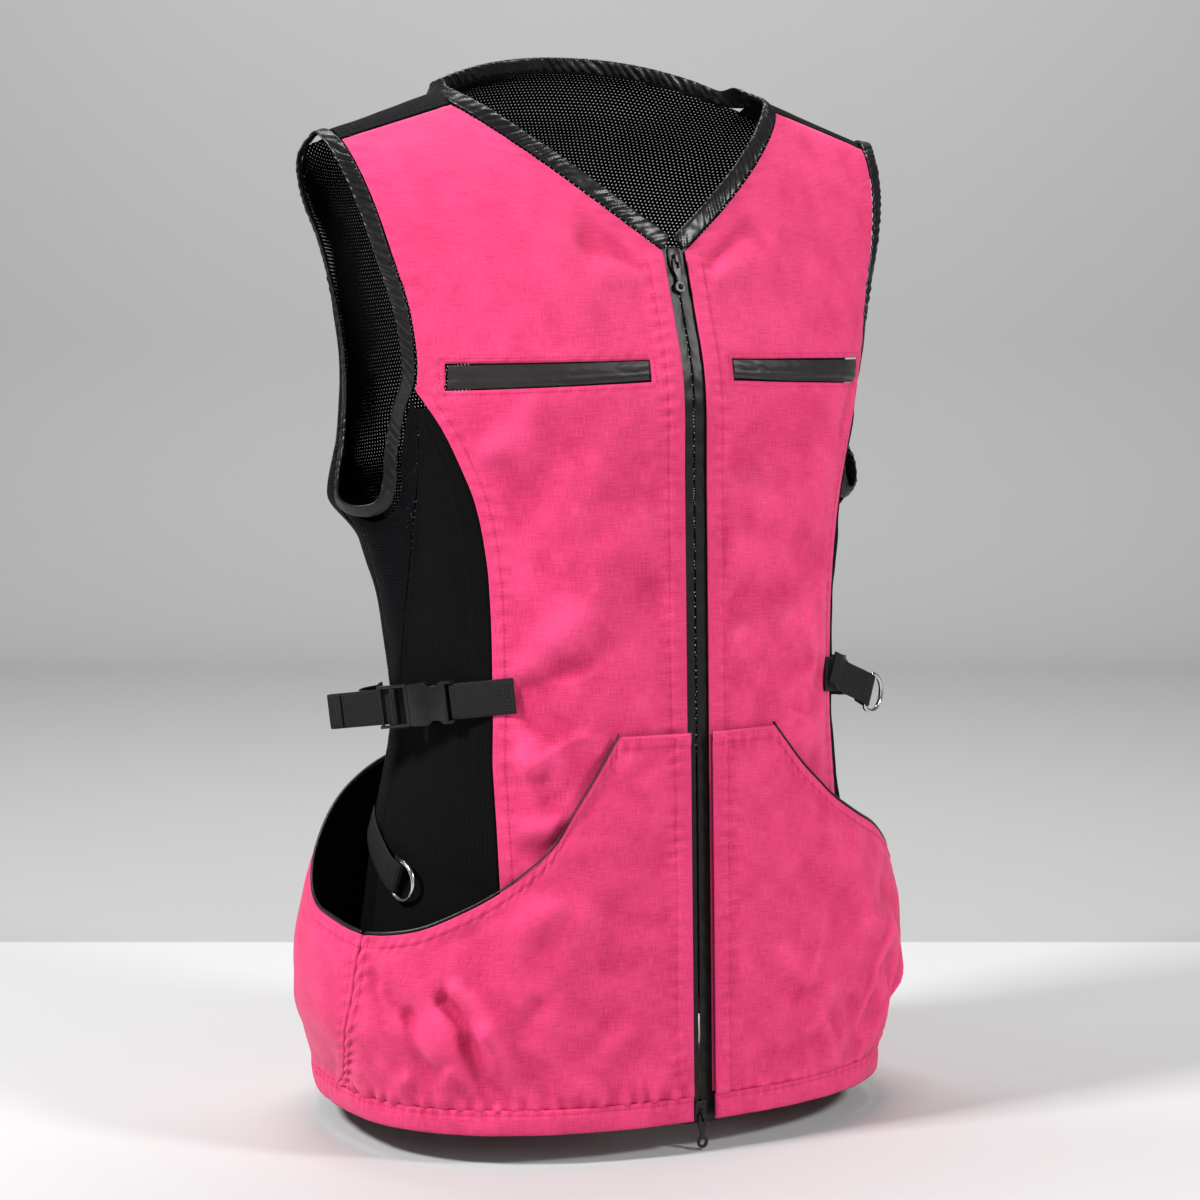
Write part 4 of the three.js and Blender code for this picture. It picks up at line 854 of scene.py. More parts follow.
# %% Stitches on the fronts
def window_loop():
    """The stitched rectangle around the pocket window, as fractional places on the grid."""
    column = lambda x: np.interp(x, FRONT_X, np.arange(len(FRONT_X)))
    row = lambda h: np.interp(h, inner_h, np.arange(len(inner_h)))
    x0, x1 = column(WINDOW_X[0] - 3), column(WINDOW_X[1] + 3)
    h0, h1 = row(WINDOW_LOW - 3.2), row(WINDOW_TOP + 3.2)
    return [np.stack([np.linspace(a, b, 90), np.linspace(c, d, 90)], 1) for a, c, b, d in
            ((x0, h0, x1, h0), (x1, h0, x1, h1), (x1, h1, x0, h1), (x0, h1, x0, h0))]

below, beside = np.flatnonzero(inner_h < NECK_FOOT - 5), np.flatnonzero(outer_h < ARM_CORNER - 6)
for side, (cloth, final) in fronts.items():
    lines = [cloth.line("start", ZIP_STITCH, below), cloth.line("end", SIDE_STITCH, beside)] + window_loop()
    rows = [stitch_line(cloth, final, line) for line in lines]
    stitches(f"front_stitches_{side}", rows, PINK_THREAD)

# %% [markdown]
# ## Chest pockets
#
# The pocket's mouth is a window in the front, filled by a folded welt of lining cloth. Behind it
# hangs a flat bag. The welt is wrinkled, and a shallow slit along its lower part is the mouth.

# %% Chest welts and pocket bags
def plain_grid(shape, a, h, m):
    return Cloth(to_side(shape(a, h), m))

for side, m in SIDES:
    share, rise = np.linspace(0, 1, 150)[:, None], np.linspace(0, 1, 22)[None]
    x = mix(WINDOW_X[0] + 0.8, WINDOW_X[1] - 0.8, share)
    h = mix(mix(522.2, 515.6, share) + 0.6, mix(536.6, 533.6, share) - 0.7, rise)
    c = plain_grid(front, x, h, m)
    fold = 0.30 * np.sin(np.pi * np.clip((rise - 0.12) / 0.3, 0, 1))
    fold = fold + 0.35 * np.sin(np.pi * np.clip((rise - 0.42) / 0.55, 0, 1))
    wrinkle = 0.30 * hills(x / 3.0 + rise * 7, rise * 2.5, 2.2, 31 if m < 0 else 37) + 0.22 * hills(x, h * 2.2, 6, 41)
    if m < 0:
        mouth = np.clip(1 - share / 0.62, 0, 1)
    else:
        mouth = 0.25 + 0.75 * smooth((share - 0.15) / 0.5)
    line = 0.10 + 0.10 * hills(x, 0, 24, 43)
    slit = -1.3 * smooth(mouth * 3) * np.exp(-((rise - line) / 0.09) ** 2)
    p = c.raised(-1.1 + fold + wrinkle * np.maximum(np.sin(np.pi * rise), 0) ** 0.5 + slit)
    welt = cloth_piece(f"chest_welt_{side}_cloth", c, p, 0.6)
    finish_piece(welt, LINING, nodes=[f"chest_welt_{side}"])

    x = mix(WINDOW_X[0] - 5, WINDOW_X[1] - 12, np.linspace(0, 1, 60)[:, None])
    h = mix(404, 541, np.linspace(0, 1, 50)[None])
    c = plain_grid(front, x, h, m)
    bag = cloth_piece(f"chest_bag_{side}", c, c.raised(-5.2 + 0.4 * hills(x, h, 30, 51)), 0.4)
    finish_piece(bag, LINING, nodes=[f"chest_pocket_{side}"])
print("chest welts and bags made")

# %% [markdown]
# ## Knit sides, mesh and back
#
# Between the pink front and the side seam there is a knit panel, then mesh. The knit is folded
# once along its length, a crease a thumb's width from the pink edge. The mesh back curves in at
# the waist and spreads over the shoulder blades.

# %% Knit sides and mesh sides
def edge_angle(h):
    return front_angle(side_edge(h), h)

arm_low = spline(ARM_LOW, 200)
for side, m in SIDES:
    h = np.linspace(HEM_TOP, 503, 230)[None]
    u = np.linspace(0, 1, 46)[:, None]
    c = plain_grid(ring, mix(edge_angle(h) - 0.15, fold_angle(h) + 0.2, u), h, m)
    seed = 300 if m < 0 else 330
    crease = 0.9 * np.exp(-((c.edge["start"] - 13 - 2.5 * hills(h, 0, 90, seed)) / 2.2) ** 2)
    lift = crease - 1.5 * (1 - smooth(c.edge["start"] / 3))
    lift += 1.3 * hills(c.u, h, 48, seed + 1) * smooth(c.edge["start"] / 12) * smooth(c.edge["end"] / 8)
    lift += 0.8 * hills(c.u * 0.5, h, 18, seed + 2) * smooth(c.edge["start"] / 10) * smooth(c.edge["end"] / 6)
    lift += pucker(c.edge["end"] - 4, c.v, seed + 3, depth=0.4, spacing=9, reach=3.5)
    knit = cloth_piece(f"knit_{side}", c, c.raised(lift), 1.0)
    finish_piece(knit, KNIT_BLACK, nodes=[f"knit_side_{side}"])

    # The rows of the mesh lie level at the hem and turn up towards the foot of the armhole.
    low = np.linspace(HEM_TOP, 380, 120)
    arm = arm_low[(arm_low[:, 1] < 511) & (arm_low[:, 0] < ARM_LOW[-1][0])][::-1]
    inner = np.concatenate([low, np.linspace(388, 507, len(arm) + 1)])
    outer = np.concatenate([low, [408], arm[:, 1] - 2.4])
    angle = np.concatenate([seam_angle(low) - GAP_DEG, [float(seam_angle(408)) - GAP_DEG], arm[:, 0] - 0.75])
    c = plain_grid(ring, mix(fold_angle(inner) + 0.5, angle, u), mix(inner, outer, u), m)
    lift = 1.1 * hills(c.u, c.v, 42, seed + 5) * smooth(c.edge["start"] / 8) * smooth(c.edge["end"] / 8)
    net = cloth_piece(f"net_side_{side}", c, c.raised(lift), 0.5)
    finish_piece(net, NET_BLACK, nodes=[f"mesh_side_{side}"])
print("knit and net sides made")

# %% Mesh back
def yoke_back(x):
    return ridge(x) - 8.5

NECK_TOP = 742

def neck_back(x):
    return NECK_TOP - (NECK_TOP - yoke_back(NECK_HALF)) * np.minimum(np.abs(x) / NECK_HALF, 1) ** 2.2

def back_grid():
    columns, rows = 190, 210
    s, v = np.linspace(-1, 1, columns)[:, None], np.linspace(0, 1, rows)[None]
    edge = lambda h: seam_angle(h) + np.where(h < WING, GAP_DEG, 0.1)
    phi = lambda h: 180 + s * (180 - edge(np.minimum(h, 684)))
    top = np.full((columns, 1), 690.0)
    for _ in range(12):      # the top depends on the place across, which depends on the top
        x = np.abs(ring(phi(top), top)[..., 0])
        top = np.minimum(np.where(x > NECK_HALF, yoke_back(x), neck_back(x)), NECK_TOP) + 1.8
    h = mix(HEM_TOP, top, v)
    a = phi(h)
    return Cloth(ring(np.where(a > 180, a - 360, a), h)), h

c, h = back_grid()
lift = 1.4 * hills(c.p[..., 0], h, 60, 401) + 0.6 * hills(c.p[..., 0], h, 24, 402)
lift *= smooth(np.minimum(np.minimum(c.edge["start"], c.edge["end"]), c.edge["top"]) / 14)
lift += pucker(c.edge["start"] - 7, c.v, 403, depth=0.35) + pucker(c.edge["end"] - 7, c.v, 404, depth=0.35)
back = cloth_piece("net_back", c, c.raised(lift), 0.6)
finish_piece(back, NET_BLACK, nodes=["back_panel"])
print("mesh back:", len(back.data.polygons), "faces")

# %% [markdown]
# ### Shoulder yokes
#
# A band of ribbed knit runs over each shoulder, from the front's shoulder seam to the back.

# %% Shoulder yokes
for side, m in SIDES:
    x, v = np.linspace(134.4, 215.2, 90)[:, None], np.linspace(0, 1, 50)[None]
    start = -fall(x, mix(713, 688, (x - NECK_HALF) / 81), REACH_FRONT) + 0.024
    g = mix(start, 0.32, v)
    h = ridge(x) - np.where(g < 0, REACH_FRONT, REACH_BACK) * (1 - np.sqrt(1 - g * g))
    deep = np.where(g < 0, np.maximum(1 - (x / half_front(h)) ** 2.4, 0) ** (1 / 2.4) * front_depth(h),
                    np.sqrt(np.maximum(1 - (x / half_back(h)) ** 2, 0.02)) * back_depth(h))
    c = Cloth(to_side(point(x, centre(h) + deep * g, h), m))
    c.n *= np.where(c.n[..., 2].mean() < 0, -1, 1)
    lift = 0.5 * hills(x, v * 60, 22, 420) + pucker(c.edge["low"] - 3.5, c.u, 421, depth=0.35, spacing=9, reach=3)
    yoke = cloth_piece(f"yoke_{side}", c, c.raised(lift), 1.0)
    finish_piece(yoke, YOKE_BLACK, nodes=[f"shoulder_yoke_{side}"])
print("yokes made")

# %% [markdown]
# ## Swept strips
#
# Bindings, piping, straps, tape, coil and rings are all one section carried along a line.
# `swept` takes the line, two half-axes at each point of it, and a superellipse: exponent 2 is
# round, 4 is a soft-edged strip. A last argument lifts the surface for gathers.

# %% Swept strips
def swept(name, middle, wide, deep, power=2.0, sides=16, closed=False, lift=None):
    """Section points are middle + wide cos^(2/power) + deep sin^(2/power); an open line ends in small rounded caps."""
    if not closed:
        ends = np.concatenate([[0, 0], np.arange(len(middle)), [-1, -1]]).astype(int)
        grow = np.concatenate([[0.001, 0.7], np.ones(len(middle)), [0.7, 0.001]])[:, None]
        middle, wide, deep = middle[ends], wide[ends] * grow, deep[ends] * grow
    angle = np.arange(sides) / sides * 2 * np.pi
    across = np.sign(np.cos(angle)) * np.abs(np.cos(angle)) ** (2 / power)
    out = np.sign(np.sin(angle)) * np.abs(np.sin(angle)) ** (2 / power)
    p = middle[:, None] + wide[:, None] * across[None, :, None] + deep[:, None] * out[None, :, None]
    along = np.concatenate([[0], np.cumsum(np.linalg.norm(np.diff(middle, axis=0), axis=1))])
    half = np.linalg.norm(wide, axis=1)
    if lift is not None:
        unit = deep / np.maximum(np.linalg.norm(deep, axis=1, keepdims=True), 1e-9)
        rise = lift(along[:, None], across[None] * half[:, None], out[None])
        rise = rise * np.sign(out)[None] * np.sqrt(np.abs(out))[None]
        p = p + unit[:, None] * rise[..., None]
    n, k = p.shape[:2]
    faces = grid_faces(n, k, closed, True).reshape(-1, 4)
    turn = (np.cross(np.roll(middle, -1, 0)[1:-1] - middle[1:-1], wide[1:-1]) * deep[1:-1]).sum()
    if turn < 0:
        faces = faces[:, ::-1]
    uv = np.stack(np.broadcast_arrays(along[:, None], across[None] * half.max()), -1).reshape(-1, 2)
    return make_mesh(name, p.reshape(-1, 3), faces, uv)

def gathers(seed, depth=0.42, spacing=8.0, slant=0.9):
    """Slanting wrinkles of a bias strip: a wave along it that leans with the place across it, uneven in size."""
    def lift(along, across, out):
        wave = np.sin(2 * np.pi * (along + slant * across) / spacing + 3.0 * hills(along, across * 0.5, 17, seed))
        small = hills(along + across, across * 1.6, 4.5, seed + 1)
        return depth * (0.55 + 0.6 * hills(along, 4, 26, seed + 2)) * wave + 0.4 * depth * small
    return lift

RIBBON_STEP = 1.92

def ribbon(name, edge, base, across, thick, closed=False, **kw):
    """A strip between an edge line and a base line, resampled smoothly; `across` is the way its thickness goes."""
    rows = spline(np.concatenate([edge, base, across * 10], axis=1), step=RIBBON_STEP, closed=closed)
    e, b, a = rows[:, :3], rows[:, 3:6], rows[:, 6:]
    a = a / np.linalg.norm(a, axis=1, keepdims=True)
    return swept(name, (e + b) / 2, (e - b) / 2, a * thick / 2, closed=closed, **kw)

# %% [markdown]
# ## Bindings
#
# The neck's satin binding climbs one side of the V, turns over the shoulder seam, crosses the back
# of the neck and comes down the other side. The armholes are closed loops.

# %% Neck binding
def unit(v):
    v = np.asarray(v, float)
    return v / np.linalg.norm(v, axis=-1, keepdims=True)

BIND_W, BIND_T = 12.0, 2.4

def neck_half():
    t = np.linspace(0, 1, 22)
    x, h = mix(ZIP_EDGE - 0.4, NECK_HALF - 1, t), neck_height(t) + 1.35
    b, n = front(x, h), outward(front, x, h)
    tilt = unit(np.stack([np.full_like(t, -0.62), 0.05 + 0.25 * t, np.full_like(t, 0.78)], 1))
    side = unit(tilt - n * (tilt * n).sum(1, keepdims=True))
    e = b + side * BIND_W
    e[:, 0] = np.maximum(e[:, 0], 1.4)
    rows = [np.concatenate([e, b, n], 1)]
    rows.append([[125.5, 8, 727, 134.2, 12, 722, *unit([0.45, -0.1, 0.9])],
                 [121, 24, 733, 132.5, 27, 718.5, *unit([0.75, 0.25, 0.5])]])
    x = np.array([121, 103, 82, 60, 38, 18.0])
    h = neck_back(x)
    phi = 180 - np.degrees(np.arcsin(x / half_back(h)))
    p, n = ring(phi, h), outward(ring, phi, h)
    lean = unit(np.stack([-0.12 * x / 121, np.full_like(x, -0.12), np.ones_like(x)], 1))
    rows.append(np.concatenate([p + [0, -1.5, 0] + BIND_W * lean, p + [0, 0, 0.5], unit(n + [0, 0.9, 0])], 1))
    return np.concatenate(rows)

half = neck_half()
flip = np.tile([-1.0, 1, 1], 3)
middle = ring(180.0, neck_back(0.0))
nape = np.concatenate([middle + [0, -2.5, BIND_W], middle + [0, 0, 0.5], unit([0, 1, 0.1])])
loop = np.concatenate([half * flip, [nape], half[::-1]])
neck = ribbon("satin_neck_binding", loop[:, :3], loop[:, 3:6], loop[:, 6:], BIND_T, power=2.6, sides=28,
              lift=gathers(501, depth=0.95, spacing=7.5))
finish_piece(neck, SATIN, nodes=["neck_binding"])
print("neck binding:", len(neck.data.polygons), "faces")

# %% Armhole bindings
def arm_loop():
    """Points round the armhole, down its front edge and up its back one, and the edge a binding's width in."""
    h = np.array([686, 675, 662, 645, 628, 611, 592, 572, 553, 535, 520.0])
    base, across = [front(side_edge(h) + 0.4, h)], [outward(front, side_edge(h) + 0.4, h)]
    low = spline(ARM_LOW, 13)[1:]
    base.append(ring(low[:, 0], low[:, 1])), across.append(outward(ring, low[:, 0], low[:, 1]))
    h = np.array([452, 470, 495, 520, 547, 575, 600, 625, 645, 665, 680.0])
    base.append(ring(seam_angle(h), h)), across.append(outward(ring, seam_angle(h), h))
    base.append([[221, 17, 692.5], [219.5, 9, 695], [218, 1, 693]])
    across.append(unit([[0.3, 0.5, 0.9], [0.3, 0, 1], [0.3, -0.6, 0.9]]))
    base, across = np.concatenate(base), np.concatenate(across)
    inwards = unit(np.cross(across, np.roll(base, -1, 0) - np.roll(base, 1, 0)))
    for _ in range(3):
        inwards = unit(inwards + np.roll(inwards, 1, 0) + np.roll(inwards, -1, 0))
    return base + inwards * (BIND_W - 1.5), base, across

edge, base, across = arm_loop()
for side, m in SIDES:
    f = np.array([m, 1.0, 1.0])
    band = ribbon(f"satin_armhole_{side}", edge * f, base * f, across * f, BIND_T, closed=True, power=2.6, sides=28,
                  lift=gathers(520 + m, depth=0.9, spacing=7.0))
    finish_piece(band, SATIN, nodes=[f"armhole_binding_{side}"])
print("armhole bindings made")

# %% [markdown]
# ## The pouch
#
# The pouch is the widest thing on the vest. Its fronts hang from the zip and the hip seams, so they
# sag between the two in long soft folds. The slanted mouths are piped. The back of it stands off
# the seat in one curved wall.

# %% Fold lines on the pouch (angle around the body, height, to angle, height, bow, width, height of fold)
ARC = 3.4                    # mm of cloth to a degree around the pouch
POUCH_FOLDS = {
    "right": [(71, 118, 58, 83, 4, 9, -3.4), (58, 83, 56, 50, 2, 8, -2.2), (49, 96, 44, 66, -3, 8, -3.6),
              (44, 66, 42, 32, 2, 8, -2.8), (42, 32, 45, 8, 1, 7, -1.8), (46, 104, 40, 76, -2, 8, 2.8),
              (40, 76, 36, 48, 2, 8, 1.9), (66, 100, 53, 62, 4, 9, 2.4), (29, 92, 33, 46, 4, 9, -1.8),
              (20, 150, 26, 92, 3, 13, 1.5), (28, 158, 36, 118, 3, 12, 1.6), (12, 70, 20, 34, 3, 9, 1.3),
              (62, 40, 68, 24, 2, 6, 1.6), (50, 46, 54, 24, 2, 6, 1.5)],
    "left": [(22, 168, 30, 128, 4, 13, -1.8), (32, 190, 40, 140, -4, 12, 1.8), (14, 110, 24, 78, 4, 12, 1.8),
             (38, 120, 52, 98, 5, 12, 2.0), (52, 140, 62, 96, 4, 12, -2.2), (18, 80, 30, 46, 5, 10, -2.0),
             (44, 72, 50, 36, 3, 9, 2.0), (34, 64, 38, 32, 3, 8, -2.0), (58, 66, 64, 34, 3, 8, -1.8),
             (26, 52, 29, 28, 2, 6, 1.4)]}

# %% Pouch fronts
MOUTH_TOP, TUCK = 276, 2.2   # the mouths' height at the zip, and how far the pouch goes down behind the hem band

def pouch_front_grid(side, m):
    """The grid of a pouch front, the place around it in mm of cloth, and the height."""
    start = float(pouch_angle(ZIP_EDGE, MOUTH_TOP))
    top = np.vstack([[[start, MOUTH_TOP], [9, MOUTH_TOP]], spline(POUCH_TOP[side], 200)])
    top = even(top * [ARC, 1], 190) / [ARC, 1]
    h = mix(HEM_TOP - TUCK, top[:, 1:], np.linspace(0, 1, 130)[None])
    share = (top[:, :1] - start) / (HIP - start)
    phi = mix(pouch_angle(ZIP_EDGE, h), hip_seam(h) - 0.02, share)
    return plain_grid(pouch, phi, h, m), phi * ARC, h

def pouch_front_lift(c, a, h, side, seed):
    calm = smooth(np.minimum(np.minimum(c.edge["start"] - 8, c.edge["end"] - 6),
                             np.minimum(c.edge["top"] - 5, c.edge["low"] + 4)) / 16)
    soft = 2.6 * hills(a, h, 58, seed) + 1.9 * hills(a, h, 29, seed + 1)
    soft = soft + 0.7 * hills(a, h, 14, seed + 2) + 0.18 * hills(a, h, 6.5, seed + 3)
    low = smooth((150 - h) / 60)
    soft = 0.8 * soft + low * (2.4 * creases(a, h, 62, 80, 40, seed + 31) + 1.2 * creases(a, h, 118, 66, 34, seed + 35))
    folds = [(r[0] * ARC, r[1], r[2] * ARC, r[3], *r[4:]) for r in POUCH_FOLDS[side]]
    lift = calm * (soft + 1.9 * strokes(a, h, folds)) + 0.3
    lift += seam(c, "start", ZIP_STITCH, seed + 5, band=0.6, depth=0.6, spacing=10.5, reach=6.0)
    lift += seam(c, "top", MOUTH_STITCH, seed + 9, band=0.6, depth=0.6, spacing=10.0, reach=5.5)
    lift += seam(c, "end", HIP_STITCH, seed + 13, band=0.5, depth=1.1, spacing=12.0, reach=7.0)
    lift += pucker(c.edge["low"], c.u, seed + 17, depth=1.5, spacing=13.0, reach=10.0, groove=0)
    deepest = -(1.2 + 4.5 * smooth((h - 22) / 60))
    lift = np.where(lift < deepest, deepest + 0.5 * np.tanh(lift - deepest), lift)
    return lift - (1.0 * (1 - smooth(c.edge["low"] / 3.5)) + 0.6 * (1 - smooth(c.edge["end"] / 2.5)))

def pouch_piece(where, c, lift, node, seams):
    """The pink sheet, its black inside, and its stitches along the seams given as (edge, inset)."""
    final = c.raised(lift)
    piece = cloth_piece(f"pink_pouch_{where}", c, final, 1.1)
    finish_piece(piece, PINK, nodes=[node])
    # painted shade in this cloth's hollows and painted light on its crowns
    store_painted_light_and_shade(piece, lift)
    inside = cloth_piece(f"pouch_lining_{where}", c, c.raised(lift - 1.3), 0.3)
    finish_piece(inside, LINING_BLACK)
    rows = [stitch_line(c, final, c.line(*at)) for at in seams]
    stitches(f"pouch_stitches_{where}", rows, PINK_THREAD)

for side, m in SIDES:
    c, a, h = pouch_front_grid(side, m)
    lift = pouch_front_lift(c, a, h, side, 600 if m < 0 else 640)
    pouch_piece(side, c, lift, f"pouch_front_{side}",
                (("start", ZIP_STITCH), ("top", MOUTH_STITCH), ("end", HIP_STITCH)))

# %% Pouch back
def pouch_back_grid():
    angle, high, sign = back_mouth(140)
    h = mix(HEM_TOP - TUCK, high[:, None], np.linspace(0, 1, 110)[None])
    phi = 180 - (180 - angle[:, None]) / (180 - HIP) * (180 - hip_seam(h) - 0.02)
    p = pouch(phi, h)
    p[..., 0] *= sign[:, None]
    return Cloth(p), phi * ARC * sign[:, None], h

c, a, h = pouch_back_grid()
calm = smooth(np.minimum(np.minimum(c.edge["start"] - 5, c.edge["end"] - 5),
                         np.minimum(c.edge["top"] - 5, c.edge["low"] + 4)) / 16)
lift = calm * (1.6 * hills(a, h, 62, 701) + 1.1 * hills(a, h, 30, 702)) + 0.4
lift += seam(c, "top", MOUTH_STITCH, 705, band=0.5, depth=0.6, spacing=10.0, reach=5.0)
lift += (seam(c, "start", HIP_STITCH, 709, band=0.4, depth=0.6, spacing=12.0, reach=6.0)
         + seam(c, "end", HIP_STITCH, 713, band=0.4, depth=0.6, spacing=12.0, reach=6.0))
lift += pucker(c.edge["low"], c.u, 717, depth=1.3, spacing=13.0, reach=10.0, groove=0)
lift -= 1.0 * (1 - smooth(c.edge["low"] / 3.5)) + 0.6 * (1 - smooth(np.minimum(c.edge["start"], c.edge["end"]) / 2.5))
pouch_piece("back", c, lift, "pouch_back", (("top", MOUTH_STITCH), ("start", HIP_STITCH), ("end", HIP_STITCH)))

# %% Piping along the pouch's mouths
def piping(name, angle, high, sign, node, low=0.7, top=2.8):
    """A cord along the mouth, between two heights above the cloth's edge."""
    rows = even(np.stack([angle * ARC, high, sign], 1), step=1.6)
    angle, high, sign = rows[:, 0] / ARC, rows[:, 1], np.where(rows[:, 2] < 0, -1.0, 1.0)
    f = np.stack([sign, np.ones_like(sign), np.ones_like(sign)], 1)
    e, b = pouch(angle, high + top) * f, pouch(angle, high + low) * f
    n = outward(pouch, angle, high) * f
    obj = swept(name, (e + b) / 2 + 0.3 * n, (e - b) / 2 * 1.05, n * 1.25, power=2.1, sides=12,
                lift=gathers(731, depth=0.10, spacing=6))
    finish_piece(obj, SATIN, nodes=[node])

for side, m in SIDES:
    t = spline(POUCH_TOP[side], 400)
    piping(f"piping_{side}", np.minimum(t[:, 0], HIP - 0.6), t[:, 1], np.full(400, float(m)), f"pouch_piping_{side}")
angle, high, sign = back_mouth(400)
piping("piping_back", np.maximum(angle, HIP + 0.6), high, sign, "pouch_piping_back")
print("piping made")

# %% [markdown]
# ## Hem
#
# The hem band folds the bottom edge of every panel into one strip, with a row of stitches near its
# top. It is drawn up by those stitches, so it ripples.

# %% Hem band
def hem_grid():
    first = float(pouch_angle(ZIP_EDGE, 8))
    angle = np.linspace(-first, -(360 - first), 760)
    phi = np.where(angle < -180, angle + 360, angle)
    h = mix(0, HEM_BAND, np.linspace(0, 1, 18))[None]
    p = pouch(np.abs(phi)[:, None], h)
    p[..., 0] *= np.sign(phi)[:, None]
    return Cloth(p)

c = hem_grid()
rise, HEM_STITCH = c.v / HEM_BAND, 14.5
lift = 0.9 * hills(c.u, 0, 34, 741) * rise + 0.5 * hills(c.u, c.v, 11, 742)
lift = lift + 1.4 * np.maximum(np.sin(np.pi * rise), 0) ** 0.5 + 0.1
lift += pucker(c.v - HEM_STITCH, c.u, 743, depth=0.55, spacing=9.0, reach=5.0)
lift *= smooth(np.minimum(c.edge["start"], c.edge["end"]) / 5) * 0.85 + 0.15
final = c.raised(lift)
hem = cloth_piece("pink_hem", c, final, 2.4)
finish_piece(hem, PINK, nodes=["hem_band"])
# painted shade in this cloth's hollows and painted light on its crowns
store_painted_light_and_shade(hem, lift)
stitches("hem_stitches", [stitch_line(c, final, c.line("low", HEM_STITCH))], PINK_THREAD)

# %% [markdown]
# ## The zip
#
# It is an open-ended coil zip sewn in reverse: the flat faces of its two tapes show, meeting in a
# line down the middle, and the coil is behind them. Two sliders run on it, one at each end.

# %% Zip tapes, coils and stops
def zip_up(h):
    t = np.stack([np.zeros_like(h), zip_depth(h + 0.5) - zip_depth(h - 0.5), np.ones_like(h)], -1)
    return unit(t)

def zip_frame(h):
    """Points on the zip's line, the way up it, and the way in towards the wearer."""
    up = zip_up(h)
    return point(0, zip_depth(h), h), up, np.stack([0 * h, up[:, 2], -up[:, 1]], 1)

def tape_wrinkle(along, across, out):
    """Slanting wrinkles down the middle of each half of a tape."""
    wave = 0.42 * np.sin(2 * np.pi * (along + 1.6 * across) / 19 + 3 * hills(along, across, 16, 805))
    return wave * np.exp(-((np.abs(across) - 2.6) / 2.8) ** 2)

COIL_PITCH, COIL_TOP, COIL_R = 1.5, 612, 0.3
h = np.arange(-3, 615.01, 1.5)
at, up, into = zip_frame(h)
for side, m in SIDES:
    across = np.array([m, 0.0, 0.0])
    ripple = 0.28 * np.sin(2 * np.pi * h / 21 + 2.2 * hills(h, 0, 40, 801)) + 0.22 * hills(h, 0, 9, 802 + m)
    ripple = ripple[:, None]
    slack = smooth((h + 3) / 60)[:, None] * 0.8 + 0.2
    part = (3.0 * (1 - smooth((h + 3) / 26)))[:, None] * 0.3
    mid = at + into * (2.55 - 0.35 * ripple * slack - 0.2) + across * (7.35 + part)
    tape = swept(f"zip_tape_{side}", mid, across * 6.65 + into * ripple * 0.10, into * 0.40, power=5.0, sides=24,
                 lift=tape_wrinkle)
    finish_piece(tape, TAPE, nodes=[f"zipper_tape_{side}"])

    turns = np.arange(0, (COIL_TOP - 2) / COIL_PITCH, 1 / 10)
    c_at, c_up, c_in = zip_frame(-1.0 + turns * COIL_PITCH)
    angle = turns * 2 * np.pi
    line = c_at + c_in * (4.1 + 0.6 * np.sin(angle))[:, None] + across * (2.05 + 1.0 * np.cos(angle))[:, None]
    sideways = unit(np.cross(np.gradient(line, axis=0), c_up))
    coil = swept(f"zip_coil_{side}", line, c_up * COIL_R, sideways * COIL_R, sides=6)
    finish_piece(coil, COIL, nodes=[f"zipper_coil_{side}"])
print("zip tapes and coils made,", int(turns[-1]), "turns a side")

# %% [markdown]
# ## Moulded parts
#
# The sliders, pulls and buckles are right already as imported, but their edges are knife sharp. Each is
# copied, its doubled points joined and its flat faces merged, and then every edge gets a small
# rounded bevel, as moulding leaves.

# %% Moulded parts from the imported model
import bmesh

BEVEL_ANGLE = 32             # only edges sharper than this, in degrees, are rounded

def moulded_copy(node, name, bevel_mm, body):
    """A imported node's mesh, welded, made of whole flat faces again, and given rounded edges."""
    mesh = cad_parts[node].data.copy()
    work = bmesh.new()
    work.from_mesh(mesh)
    bmesh.ops.remove_doubles(work, verts=work.verts, dist=1e-5)
    bmesh.ops.dissolve_limit(work, angle_limit=math.radians(1.5), verts=work.verts, edges=work.edges)
    work.to_mesh(mesh)
    work.free()
    for label in [layer.name for layer in mesh.uv_layers]:
        mesh.uv_layers.remove(mesh.uv_layers[label])
    mesh.polygons.foreach_set("use_smooth", np.ones(len(mesh.polygons), bool))
    obj = bpy.data.objects.new(name, mesh)
    bpy.context.scene.collection.objects.link(obj)
    round_off = obj.modifiers.new("bevel", "BEVEL")
    round_off.width, round_off.segments = bevel_mm * 0.001, 3
    round_off.limit_method, round_off.angle_limit = "ANGLE", math.radians(BEVEL_ANGLE)
    round_off.harden_normals, round_off.use_clamp_overlap = True, True
    finish_piece(obj, PLASTIC, body=body, nodes=[node])

for end in ("top", "bottom"):
    moulded_copy(f"slider_{end}", f"zip_slider_{end}", 0.35, f"slider_{end}")
    moulded_copy(f"pull_{end}", f"zip_pull_{end}", 0.3, f"pull_{end}")
for side, m in SIDES:
    moulded_copy(f"top_stop_{side}", f"zip_stop_{side}", 0.3, "vest")
    moulded_copy(f"buckle_socket_{side}", f"socket_{side}", 0.9, "vest")
    moulded_copy(f"buckle_plug_{side}", f"plug_{side}", 0.6, f"buckle_plug_{side}")
    for k in ("upper", "lower"):
        moulded_copy(f"buckle_arm_{k}_{side}", f"plug_arm_{k}_{side}", 0.4, f"buckle_arm_{k}_{side}")

# %% [markdown]
# ## Waist straps
#
# Each strap is 25 mm webbing. The front one is sewn to the pink front and holds the socket; the
# back one comes round from the side seam, bows out, and goes through the plug's bars, with its tail
# running on and its end folded over and sewn.

